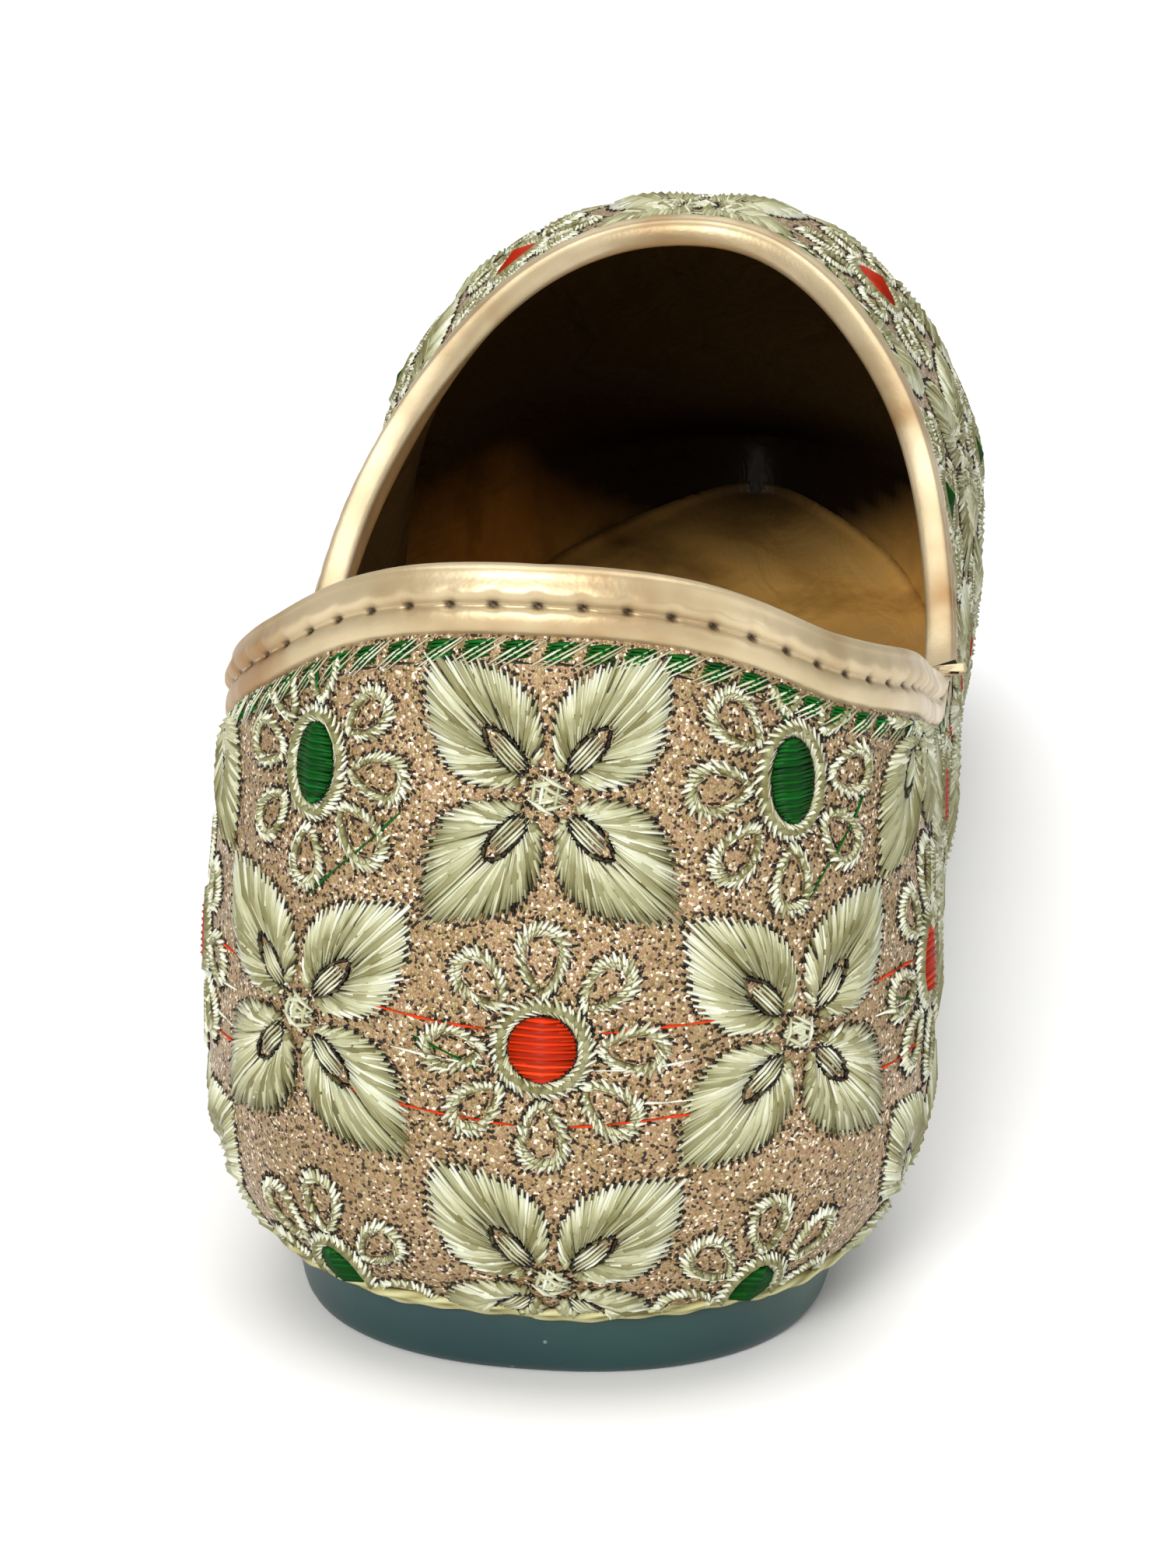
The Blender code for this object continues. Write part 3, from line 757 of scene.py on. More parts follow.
def inner_leather(name, dark, middle, light, gloss, painted_shade):
    """Soft goat leather: matt, wrinkled in long low folds. Tone mixes in painted shade, the near-black colour
    of the shade deep inside the shoe.
    """
    material, shader = new_material(name)
    tree = material.node_tree
    place = add_node(tree, "ShaderNodeTexCoord").outputs["Object"]
    cloud = add_node(
        tree, "ShaderNodeTexNoise", {"Vector": place}, Scale=repeats(26.316), Detail=5.0, Roughness=0.6
    )
    tans = [(0.28, colour(dark)), (0.5, colour(middle)), (0.72, colour(light))]
    body = add_node(tree, "ShaderNodeValToRGB", {"Fac": cloud.outputs["Fac"]}, tans)
    tone = add_node(tree, "ShaderNodeAttribute", attribute_name="tone")
    mixed = add_node(
        tree,
        "ShaderNodeMix",
        {"Factor": tone.outputs["Fac"], "A": body.outputs["Color"]},
        data_type="RGBA",
        B=colour(painted_shade),
    )
    tree.links.new(mixed.outputs["Result"], shader.inputs["Base Color"])
    stretched = add_node(tree, "ShaderNodeMapping", {"Vector": place}, Scale=(1.0, 0.35, 1.0))
    folds = add_node(
        tree,
        "ShaderNodeTexNoise",
        {"Vector": stretched.outputs["Vector"]},
        Scale=repeats(8.333),
        Detail=3.0,
        Distortion=1.2,
    )
    grain = add_node(tree, "ShaderNodeTexVoronoi", {"Vector": place}, Scale=repeats(0.7))
    fine = add_node(
        tree, "ShaderNodeBump", {"Height": grain.outputs["Distance"]}, Strength=0.18, Distance=0.15 * MM
    )
    soft = add_node(
        tree,
        "ShaderNodeBump",
        {"Height": folds.outputs["Fac"], "Normal": fine.outputs["Normal"]},
        Strength=0.5,
        Distance=1.6 * MM,
    )
    tree.links.new(soft.outputs["Normal"], shader.inputs["Normal"])
    shader.inputs["Roughness"].default_value = 0.50
    shader.inputs["Specular IOR Level"].default_value = gloss
    return material


def teal_rubber(colours):
    """Moulded rubber: satin, slightly mottled, with a few pale dust specks."""
    material, shader = new_material("teal_moulded_rubber")
    tree = material.node_tree
    place = add_node(tree, "ShaderNodeTexCoord").outputs["Object"]
    cloud = add_node(tree, "ShaderNodeTexNoise", {"Vector": place}, Scale=repeats(22.222), Detail=4.0)
    teals = [(0.3, colour("#103236")), (0.5, colour(colours.sole)), (0.72, colour("#17423A"))]
    body = add_node(tree, "ShaderNodeValToRGB", {"Fac": cloud.outputs["Fac"]}, teals)
    dust = add_node(tree, "ShaderNodeTexVoronoi", {"Vector": place}, Scale=repeats(5.263))
    spots = [(0.028, grey(0.45)), (0.055, grey(0.0))]
    specks = add_node(tree, "ShaderNodeValToRGB", {"Fac": dust.outputs["Distance"]}, spots)
    mixed = add_node(
        tree,
        "ShaderNodeMix",
        {"Factor": specks.outputs["Color"], "A": body.outputs["Color"]},
        data_type="RGBA",
        B=colour("#9DB4B2"),
    )
    tree.links.new(mixed.outputs["Result"], shader.inputs["Base Color"])
    grain = add_node(tree, "ShaderNodeTexNoise", {"Vector": place}, Scale=repeats(1.111), Detail=2.0)
    bump = add_node(
        tree, "ShaderNodeBump", {"Height": grain.outputs["Fac"]}, Strength=0.15, Distance=0.15 * MM
    )
    tree.links.new(bump.outputs["Normal"], shader.inputs["Normal"])
    shader.inputs["Roughness"].default_value = 0.40
    return material


def paper_floor(colours):
    """Pale seamless paper: matt, the faintest tooth."""
    material, shader = new_material("pale_paper")
    tree = material.node_tree
    place = add_node(tree, "ShaderNodeTexCoord").outputs["Object"]
    tooth = add_node(tree, "ShaderNodeTexNoise", {"Vector": place}, Scale=repeats(25), Detail=2.0)
    base = colour(colours.floor)
    shaded = tuple(c * 0.985 for c in base[:3]) + (1.0,)
    paper = add_node(tree, "ShaderNodeValToRGB", {"Fac": tooth.outputs["Fac"]}, [(0.3, shaded), (0.7, base)])
    tree.links.new(paper.outputs["Color"], shader.inputs["Base Color"])
    shader.inputs["Roughness"].default_value = 0.9
    shader.inputs["Specular IOR Level"].default_value = 0.2
    return material


# Thread work. A strand is one row of places, widths and heights in millimetres from the motif's middle.
# Its tones, at its start, middle and end, run from 0, near-black painted shade in a needle hole or a gap, to
# 1, the brightest floss; a change of tone along a strand is painted highlight and shade.
START = slice(0, 2)
END = slice(2, 4)
WIDTHS = slice(4, 6)
LIFTS = slice(6, 8)
RISE = 8
LENGTHS = slice(4, 9)
TONES = slice(9, 12)
STRAND_COLUMNS = 12
PALE, ORANGE, GREEN = 0, 1, 2
# Cross-sections of a strand.
LONG, SHORT, DOT = 4, 3, 2

# Tones of a leaf's level threads and of its upright ones, from the eye to the leaf's edge: painted sheen and
# shade, set by the way a strand lies and by whether its leaf is upper or lower.
UPPER_LEAF_SHEEN_AND_SHADE = ((0.62, 0.72, 0.92), (0.46, 0.36, 0.84))
LOWER_LEAF_SHEEN_AND_SHADE = ((0.80, 0.70, 0.58), (0.80, 0.56, 0.46))


class Threads:
    """Collects strands in three colours, in a chart's coordinates, each with its number of cross-sections."""

    def __init__(self, seed):
        self.rows = {}
        self.rng = np.random.default_rng(seed)

    def add(self, kind, start, end, widths, lifts=(0.0, 0.0), rise=0.2, tone=0.6, stations=SHORT):
        """Adds strands from arrays of start and end points. tone is one value, or three for each strand."""
        start, end = np.atleast_2d(start), np.atleast_2d(end)
        rows = np.empty((len(start), STRAND_COLUMNS))
        rows[:, START] = start
        rows[:, END] = end
        rows[:, WIDTHS] = widths
        rows[:, LIFTS] = lifts
        rows[:, RISE] = rise
        tone = np.asarray(tone, float)
        rows[:, TONES] = tone if tone.ndim == 2 else np.broadcast_to(tone, len(start))[:, None]
        self.rows.setdefault((kind, stations), []).append(rows)

    def needle_holes_and_shade(self, start, end, share=0.6):
        """Dark notches just past the strands' ends, where they go through the cloth: painted shade in the
        needle holes and in the gaps between the strand tips.
        """
        keep = self.rng.random(len(start)) < share
        way = unit(end - start)[keep]
        tips = end[keep] + way * 0.02
        notch = 0.50
        self.add(PALE, tips, tips + way * notch, (0.44, 0.30), (0.03, 0.0), 0.03, 0.0, DOT)


def leaf_flower(seed):
    """A four-leaf flower about 24 mm across: satin leaves round eyes edged with painted shade, and a small
    knot.
    """
    work = Threads(seed)
    rng = work.rng
    half_strands = 40
    eye_start, eye_length, eye_half_width = 2.7, 5.9, 1.05
    leaf_start, leaf_length, leaf_half_width = 2.1, 14.7, 5.1
    vein_middle, vein_half_length = 5.0, 2.25
    for turn in (45, 135, 225, 315):
        angle = math.radians(turn)
        axis = np.array([math.cos(angle), math.sin(angle)])
        side = np.array([-axis[1], axis[0]])
        level, rising = np.array(UPPER_LEAF_SHEEN_AND_SHADE if turn < 180 else LOWER_LEAF_SHEEN_AND_SHADE)

        def leaf(out, aside):
            return np.outer(out, axis) + np.outer(aside, side)

        for way in (-1, 1):
            p = np.linspace(0, 1, half_strands)
            along_eye = 0.02 + 0.98 * p
            eye_out = eye_start + eye_length * along_eye
            eye_aside = way * (eye_half_width * np.sin(math.pi * along_eye) ** 0.6 + 0.38)
            eye_aside[-4:] *= (0.9, 0.7, 0.45, 0.15)
            along_leaf = 0.02 + 0.98 * p**0.86
            leaf_out = leaf_start + leaf_length * along_leaf
            leaf_aside = way * leaf_half_width * np.sin(math.pi * along_leaf**0.82) ** 0.82
            start = leaf(eye_out, eye_aside) + rng.normal(0, 0.13, (half_strands, 2))
            end = leaf(leaf_out, leaf_aside)
            heading = unit(end - start)
            end = end + heading * np.where(np.arange(half_strands) % 2, 0.38, -0.28)[:, None]
            end = end + heading * rng.normal(0, 0.14, half_strands)[:, None]
            upright = np.abs(heading[:, 1])[:, None] ** 1.5
            # Painted sheen and shade by the way the strand lies, with a random spread.
            tone = level + (rising - level) * upright + rng.normal(0, 0.15, (half_strands, 1))
            work.add(PALE, start, end, (0.38, 0.60), (0.14, 0.0), 0.38, tone, LONG)
            work.needle_holes_and_shade(start, end, 0.7)
            # Wide padding strands under every fourth one, darker by a step: painted shade in the gaps between
            # strands.
            pad = slice(1, None, 4)
            under = np.maximum(tone[pad] - 0.20, 0.34)
            work.add(PALE, start[pad], end[pad] - heading[pad] * 0.9, (1.0, 1.7), (0.02, 0.0), 0.24, under)
            # Short near-black strands round the eye: painted shade along its edge.
            rim = np.linspace(0.0, 1.0, 9)
            edge = leaf(2.8 + 5.7 * rim, way * (0.95 * np.sin(math.pi * rim) ** 0.6 + 0.12))
            edge = edge + rng.normal(0, 0.07, edge.shape)
            dark = rng.choice([0.0, 0.04, 0.16], len(rim) - 1)
            work.add(PALE, edge[:-1], edge[1:], (0.62, 0.40), (0.10, 0.10), 0.03, dark, DOT)
        spread = np.linspace(-0.75, 0.75, 5)
        reach = vein_half_length * np.sqrt(1 - (spread / 1.1) ** 2)
        start = leaf(vein_middle - reach, spread)
        end = leaf(vein_middle + reach, spread)
        tone = 0.70 + rng.normal(0, 0.12, len(spread))
        work.add(PALE, start, end, (0.36, 0.40), (0.12, 0.12), 0.26, tone)
    for slant, count in ((15, 5), (80, 4), (150, 4)):
        heading = np.array([math.cos(math.radians(slant)), math.sin(math.radians(slant))])
        across = np.array([-heading[1], heading[0]])
        spread = np.linspace(-1.15, 1.15, count) + rng.normal(0, 0.24, count)
        reach = 1.70 * np.sqrt(1 - (spread / 2.1) ** 2) + rng.normal(0, 0.16, count)
        start = np.outer(spread, across) - np.outer(reach, heading)
        end = np.outer(spread, across) + np.outer(reach, heading)
        tone = 0.72 + rng.normal(0, 0.13, count)
        work.add(PALE, start, end, (0.55, 0.50), (0.08, 0.08), 0.28 + slant * 0.0012, tone)
        work.needle_holes_and_shade(start, end, 0.8)
        work.needle_holes_and_shade(end, start, 0.8)
    return work


def eyed_flower(seed, centre_kind):
    """A flower of eight thread loops round a satin eye: orange and round, or green and upright."""
    work = Threads(seed)
    rng = work.rng
    wide, tall = (3.15, 3.15) if centre_kind == ORANGE else (2.50, 3.80)
    levels = np.arange(-tall + 0.15, tall - 0.05, 0.36)
    reach = wide * np.sqrt(1 - (levels / tall) ** 2) + rng.normal(0, 0.04, len(levels))
    start = np.column_stack([-reach, levels])
    end = np.column_stack([reach, levels + rng.normal(0, 0.05, len(levels))])
    tone = 0.5 + rng.normal(0, 0.13, len(levels))
    work.add(centre_kind, start, end, (0.80, 0.80), (0.10, 0.10), 0.34, tone)
    # Every second satin strand has a wide dark underlay: painted shade in the gaps of the satin eye.
    under = slice(1, None, 2)
    work.add(centre_kind, start[under], end[under], (1.3, 1.3), (0.06, 0.06), 0.20, 0.15)
    # Short near-black strands round the satin eye: painted shade along its edge.
    rim = np.linspace(0, 2 * math.pi, 29)
    rim_points = np.column_stack([(wide + 0.12) * np.cos(rim), (tall + 0.12) * np.sin(rim)])
    work.add(PALE, rim_points[:-1], rim_points[1:], (0.34, 0.34), (0.08, 0.08), 0.05, 0.02, DOT)
    band = 1.75
    turn = np.linspace(0, 2 * math.pi, 73)[:-1]
    slant = 0.42
    ragged = np.where(np.arange(len(turn)) % 2, 0.22, -0.14) + rng.normal(0, 0.10, len(turn))
    start = np.column_stack([(wide + 0.22) * np.cos(turn), (tall + 0.22) * np.sin(turn)])
    outer_wide, outer_tall = wide + band + ragged, tall + band + ragged
    end = np.column_stack([outer_wide * np.cos(turn + slant), outer_tall * np.sin(turn + slant)])
    # Brighter from the inner to the outer end: painted highlight, with a random spread.
    tone = np.array([0.62, 0.82, 0.98]) + rng.normal(0, 0.16, (len(turn), 1))
    work.add(PALE, start, end, (0.44, 0.60), (0.10, 0.0), 0.32, tone)
    work.needle_holes_and_shade(start, end, 0.85)
    # Wide olive underlay round the band: painted shade in the gaps between its strands.
    core = np.linspace(0, 2 * math.pi, 25)
    core = np.column_stack([(wide + 0.95) * np.cos(core), (tall + 0.95) * np.sin(core)])
    work.add(PALE, core[:-1], core[1:], (1.25, 1.25), (0.10, 0.10), 0.02, 0.34, DOT)
    loop_stand, loop_long, loop_wide = 8.65, 3.50, 2.40
    band_long, band_wide = 1.30, 1.12
    for k in range(8):
        angle = math.radians(45 * k) + rng.normal(0, 0.03)
        axis = np.array([math.cos(angle), math.sin(angle)])
        side = np.array([-axis[1], axis[0]])
        stand = loop_stand
        if centre_kind == GREEN:
            stand += 0.55 * abs(axis[1]) - 0.55 * abs(axis[0])
        size = rng.uniform(0.93, 1.06)

        def loop(phi, long, wide_half):
            taper = 1 + 0.34 * np.cos(phi)
            along = np.outer(stand + long * np.cos(phi), axis)
            return along + np.outer(wide_half * np.sin(phi) * taper, side)

        count = 36
        phi = np.radians(np.linspace(-168, 168, count))
        thick = 0.70 + 0.30 * np.cos(phi / 2) ** 2
        ragged = np.where(np.arange(count) % 2, 0.16, -0.12) + rng.normal(0, 0.09, count)
        outer_long, outer_wide = loop_long * size, loop_wide * size
        inner_long, inner_wide = outer_long - band_long * thick, outer_wide - band_wide * thick
        start = loop(phi, inner_long, inner_wide)
        lean = 0.42 * (1 if (k + seed) % 2 else -1)
        end = loop(phi + lean, outer_long + ragged, outer_wide + ragged)
        # Brighter from the inner to the outer end: painted highlight, with a random spread.
        tone = np.array([0.60, 0.80, 0.97]) + rng.normal(0, 0.17, (count, 1))
        work.add(PALE, start, end, (0.42, 0.62), (0.06, 0.0), 0.30, tone)
        work.needle_holes_and_shade(start, end, 0.8)
        # Olive underlay along the loop: painted shade in the gaps between its strands.
        core = loop(phi, (outer_long + inner_long) / 2 - 0.1, (outer_wide + inner_wide) / 2 - 0.1)[::2]
        work.add(PALE, core[:-1], core[1:], (0.85, 0.85), (0.08, 0.08), 0.02, 0.34, DOT)
        around_hole = np.radians(np.linspace(-165, 165, 13))
        shade = loop(around_hole, inner_long[count // 2] - 0.25, inner_wide[count // 2] - 0.2)
        dashes = slice(None, -1, 2)
        work.add(PALE, shade[dashes], shade[1:][dashes], (0.30, 0.30), (0.02, 0.02), 0.03, 0.04, DOT)
    return work


def placed(rows, middle, turn, scale, rng):
    """A motif's strands moved to a middle in metres, turned, scaled and shaken a little."""
    rows = rows.copy()
    c, s = math.cos(turn) * scale, math.sin(turn) * scale
    spin = np.array([[c, s], [-s, c]])
    for tip in (START, END):
        rows[:, tip] = rows[:, tip] @ spin + rng.normal(0, 0.05, (len(rows), 2))
        rows[:, tip] = rows[:, tip] * MM + middle
    rows[:, LENGTHS] *= MM
    rows[:, TONES] += rng.normal(0, 0.04, (len(rows), 1))
    return rows


def trimmed(rows, room):
    """Strands cut back to where room(places) is positive; strands wholly outside are dropped."""
    start, end = room(rows[:, START]), room(rows[:, END])
    keep = (start > 0) | (end > 0)
    rows, start, end = rows[keep].copy(), start[keep], end[keep]
    cut = np.where((start < 0) | (end < 0), start / np.where(start == end, 1, start - end), 0)[:, None]
    crossing = rows[:, START] + (rows[:, END] - rows[:, START]) * np.clip(cut, 0, 1)
    rows[:, START] = np.where((start < 0)[:, None], crossing, rows[:, START])
    rows[:, END] = np.where((end < 0)[:, None], crossing, rows[:, END])
    shortest = 0.15 * MM
    long_enough = np.linalg.norm(rows[:, END] - rows[:, START], axis=1) > shortest
    return rows[long_enough]


def strand_faces(stations):
    """Triangles of one three-sided strand, closed at both ends."""
    ring = np.arange(stations * 3).reshape(stations, 3)
    tris = [(ring[0][2], ring[0][1], ring[0][0]), tuple(ring[-1])]
    for a, b in zip(ring[:-1], ring[1:]):
        for i in range(3):
            j = (i + 1) % 3
            tris += [(a[i], a[j], b[j]), (a[i], b[j], b[i])]
    return np.array(tris)


def strand_block(chart, rows, stations):
    """Corner points of strands laid on a chart, and the tone at each."""
    start, end = rows[:, START], rows[:, END]
    start_width, end_width = rows[:, WIDTHS].T
    start_lift, end_lift = rows[:, LIFTS].T
    start_tone, middle_tone, end_tone = rows[:, TONES].T
    sunk = 0.06 * MM
    way = unit(end - start)
    side = np.column_stack([-way[:, 1], way[:, 0]])
    block = np.empty((len(rows), stations, 3, 3))
    tone = np.empty((len(rows), stations, 3))
    for k, share in enumerate(np.linspace(0, 1, stations)):
        at_tip = k in (0, stations - 1)
        plump = 0.45 if at_tip and stations > DOT else 1.0
        arch = math.sin(math.pi * min(max(share, 0.05), 0.95)) ** 0.6
        middle = start + (end - start) * share
        width = (start_width * (1 - share) + end_width * share) * plump
        floor = start_lift * (1 - share) + end_lift * share + rows[:, RISE] * arch - sunk
        for corner, (sideways, up) in enumerate(((-0.5, 0.0), (0.0, 0.62), (0.5, 0.0))):
            place = middle + side * (width * sideways)[:, None]
            block[:, k, corner] = chart.lift(place, floor + width * up)
        near, far = (start_tone, middle_tone) if share < 0.5 else (middle_tone, end_tone)
        part = share * 2 - (share >= 0.5)
        tone[:, k] = (near * (1 - part) + far * part)[:, None]
    return block.reshape(-1, 3), tone.ravel()


def strand_mesh(name, batches, last, material):
    """One mesh of three-sided strands. batches is a list of (chart, stations, rows)."""
    points, faces, tones = [], [], []
    base = 0
    for chart, stations, rows in batches:
        if len(rows):
            block, tone = strand_block(chart, rows, stations)
            count = stations * 3
            starts = (np.arange(len(rows)) * count)[:, None, None] + base
            points.append(block)
            faces.append((strand_faces(stations)[None] + starts).reshape(-1, 3))
            tones.append(tone)
            base += len(rows) * count
    obj = new_mesh(name, np.concatenate(points), np.concatenate(faces), last, np.concatenate(tones))
    corners = np.concatenate(points)[np.concatenate(faces)]
    volume = np.einsum("ij,ij->i", corners[:, 0], np.cross(corners[:, 1], corners[:, 2])).sum()
    if volume < 0:
        obj.data.flip_normals()
    obj.data.materials.append(material)
    return obj


def even_groups(batches, most=150000):
    """Batches shared out so that no mesh passes a number of triangles."""
    groups, total = [[]], 0
    for batch in batches:
        count = len(batch[2]) * (6 * batch[1] - 4)
        if total + count > most:
            groups.append([])
            total = 0
        groups[-1].append(batch)
        total += count
    return groups


def wall_grid(last, rows, tuck_rows):
    """The wall's outer face from the top edge to the sole, for columns all round, with its normals."""
    top, widest, sides = last.ring_ends(QUARTER_COLUMNS, VAMP_COLUMNS)
    out = last.plan_normals(widest)
    dense_from = 0.88
    upper_rows = round(rows * 0.72)
    lower_rows = rows - upper_rows
    upper_places = np.linspace(0, dense_from, upper_rows)
    lower_places = np.linspace(dense_from, 1, lower_rows + 1)[1:]
    places = np.concatenate([upper_places, lower_places])
    columns = []
    for edge, foot, side, way in zip(top, widest, sides, out):
        points = last.wall_column(edge, foot, side)
        lengths = lengths_of(points)
        wall = read_curve(points, lengths, places * lengths[-1])
        columns.append(np.concatenate([wall, tuck(last, foot, way[:2], tuck_rows, False)]))
    grid = np.array(columns)
    return grid, grid_normals(grid)


def thinned(last, grid):
    """Share of the wall's thickness that fits in the tip of the toe, for each point of a wall grid."""
    tip_length, least = 14 * MM, 0.3
    return np.clip((last.size.length - grid[..., 1]) / tip_length, least, 1)[..., None]


def in_rebate(last, depth):
    """How far the wall's face is set back under the binding, for depths below the top edge."""
    return np.clip((last.size.binding_depth - depth) / (0.4 * MM), 0, 1) * REBATE


def depth_of(grid):
    """Distance of each grid point below the top edge, along its column."""
    steps = np.linalg.norm(np.diff(grid, axis=1), axis=2)
    return np.concatenate([np.zeros((len(grid), 1)), np.cumsum(steps, axis=1)], axis=1)


class MOJARI_OT_upper_fabric(bpy.types.Operator):
    """Glitter fabric of the upper, from under the binding down to the sole"""

    bl_idname = "mojari.upper_fabric"
    bl_label = "Upper fabric"

    def execute(self, context):
        last = Last(context.scene.mojari_last)
        grid, normals = wall_grid(last, 58, 13)
        depth = depth_of(grid)
        cloth_thickness = 1.1 * MM
        outer = grid + normals * (uneven(grid) - in_rebate(last, depth))[..., None]
        inner = (grid - normals * cloth_thickness * thinned(last, grid))[:, ::2]
        cloth = shell("upper_fabric", outer, inner, last)
        cloth.data.materials.append(glitter_fabric(context.scene.mojari_leather))
        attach(cloth, BODY)
        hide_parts("upper")
        return {"FINISHED"}


class MOJARI_OT_lining(bpy.types.Operator):
    """Tan leather lining with soft folds, with painted shade higher up and towards the toe"""

    bl_idname = "mojari.lining"
    bl_label = "Lining"

    def execute(self, context):
        last = Last(context.scene.mojari_last)
        grid, normals = wall_grid(last, 44, 10)
        depth = depth_of(grid)
        x, y, z = (grid[..., i] / MM for i in range(3))
        folds = 0.35 * np.sin(y / 7.5 + 2.2 * np.sin(z / 11.0)) * np.sin(z / 9.0 + x / 14.0)
        folds += 0.25 * np.sin(y / 3.6 + z / 5.2) * np.sin(x / 8.0 - z / 13.0)
        fade = np.clip((depth / MM - 8) / 6, 0, 1)
        fold_height, glue_line = 0.5 * MM, 1.2 * MM
        inner_face = last.size.wall - in_rebate(last, depth) + folds * fade * fold_height
        inside = grid - normals * inner_face[..., None]
        back = (grid - normals * glue_line * thinned(last, grid))[:, ::2]
        # Painted shade inside the upper: the tone rises with height and towards the toe, mixing in the
        # near-black lining colour.
        shade_from_along, shade_from_height = 236, 16
        shade_to_toe = np.clip((inside[..., 1] / MM - shade_from_along) / 32, 0, 1)
        tone = np.clip((inside[..., 2] / MM - shade_from_height) / 20 + shade_to_toe, 0, 1)
        skin = shell("lining", inside, back, last, tone, 1.0)
        leather = context.scene.mojari_leather
        dark, light = "#7A5124", "#C59A58"
        material = inner_leather("tan_lining_leather", dark, leather.insole, light, 0.2, leather.lining)
        skin.data.materials.append(material)
        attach(skin, BODY)
        return {"FINISHED"}


class MOJARI_OT_binding(bpy.types.Operator):
    """Folded gold leather binding with its puckered stitch line"""

    bl_idname = "mojari.binding"
    bl_label = "Collar binding"

    def execute(self, context):
        last = Last(context.scene.mojari_last)
        chart = edge_chart(last)
        size = last.size
        colours = context.scene.mojari_leather
        leaf_thickness = 0.6 * MM
        half = size.wall / 2 - REBATE
        proud = size.gap + leaf_thickness
        columns = chart.grid.shape[0]
        around = np.arange(columns) * chart.step[0]
        stitches = round(chart.around / colours.stitch_pitch)
        phase = around / chart.around * stitches
        hole_width = 0.62 * MM
        hole = np.exp(-(((phase + 0.5) % 1 - 0.5) * chart.around / stitches / hole_width) ** 2)
        outer_line, normals = chart.grid, chart.normals
        up = unit(outer_line[:, 0] - outer_line[:, 2])
        middle = outer_line[:, 0] - normals[:, 0] * size.wall / 2
        stitch_depth = 2.7 * MM

        def wall_at(depth):
            """Points of the wall all round at one depth below the top edge, and its normals there."""
            places = np.column_stack([around, np.full(columns, depth)])
            return chart.read(chart.grid, places), unit(chart.read(chart.normals, places))

        def outer_row(depth):
            """Points of the outer leaf at one depth, with the painted shade of the needle holes and stitch
            groove there.
            """
            base, way = wall_at(depth)
            from_line = (depth - stitch_depth) / MM
            roll = 0.42 * math.exp(-((depth / MM - 1.3) / 1.0) ** 2)
            groove = 0.38 * math.exp(-(from_line / 0.38) ** 2)
            band = 0.14 * math.exp(-((from_line - 1.4) / 0.9) ** 2)
            foot = 0.45 * max(0.0, (depth - size.binding_depth) / MM + 0.35) / 0.35
            pucker = hole * 0.40 * math.exp(-((from_line + 0.15) / 0.60) ** 2)
            ripple = 0.20 * (1 - hole) * math.exp(-((from_line + 0.8) / 0.6) ** 2)
            flat_height = 0.36
            offset = (flat_height + roll - groove + band - foot - pucker + ripple) * MM
            # Painted shade in each needle hole, and a fainter line of it along the stitch groove.
            hole_shade = np.clip(hole * math.exp(-(from_line / 0.36) ** 2) * 2.2 - 0.45, 0, 1)
            hole_shade = np.maximum(hole_shade, 0.20 * math.exp(-(from_line / 0.22) ** 2))
            return base + way * offset[:, None], hole_shade

        lip = 0.3 * MM
        depths = np.linspace(size.binding_depth + lip, 0, 24)
        rows, tones = zip(*[outer_row(depth) for depth in depths])
        rows, tones = list(rows), list(tones)
        swell = 0.12 * MM
        for turn in np.linspace(0, math.pi, 9)[1:-1]:
            sideways = math.copysign(abs(math.cos(turn)) ** 0.8, math.cos(turn)) * (half + proud + swell)
            lifted = math.sin(turn) ** 0.8 * (proud + swell)
            rows.append(middle + normals[:, 0] * sideways + up * lifted)
            tones.append(np.zeros(columns))
        for depth in np.linspace(0, size.binding_depth, 5):
            base, way = wall_at(depth)
            rows.append(base - way * (size.wall - REBATE + proud))
            tones.append(np.zeros(columns))
        inner = []
        for depth in np.linspace(size.binding_depth, 0, 3):
            base, way = wall_at(depth)
            inner.append(base - way * (size.wall - REBATE + size.gap))
        under_leaf = 0.45 * MM
        for depth in np.linspace(0, size.binding_depth, 4):
            base, way = wall_at(depth)
            inner.append(base - way * under_leaf)
        outer = np.stack(rows, axis=1)
        inner = np.stack(inner, axis=1)[:, ::-1]
        strip = shell("collar_binding_leather", outer, inner, last, np.stack(tones, axis=1))
        strip.data.materials.append(gold_leather(colours))
        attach(strip, BODY)
        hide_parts("collar_binding")
        work = Threads(SEED + 5)
        pitch = chart.around / stitches
        from_hole, width, sunk, rise = 0.55 * MM, 0.30 * MM, -0.04 * MM, 0.10 * MM
        starts = np.arange(stitches) * pitch + from_hole
        start = np.column_stack([starts, np.full(stitches, stitch_depth - 0.05 * MM)])
        end = start + np.array([pitch - 2 * from_hole, 0])
        work.add(PALE, start, end, (width, width), (sunk, sunk), rise, 0.7, LONG)
        stops = [(0.0, colour("#6E5330")), (1.0, colour("#C9AE7C"))]
        thread = floss("gold_thread", stops)
        seam = strand_mesh("binding_stitches", [(chart, LONG, work.rows[PALE, LONG][0])], last, thread)
        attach(seam, BODY)
        return {"FINISHED"}


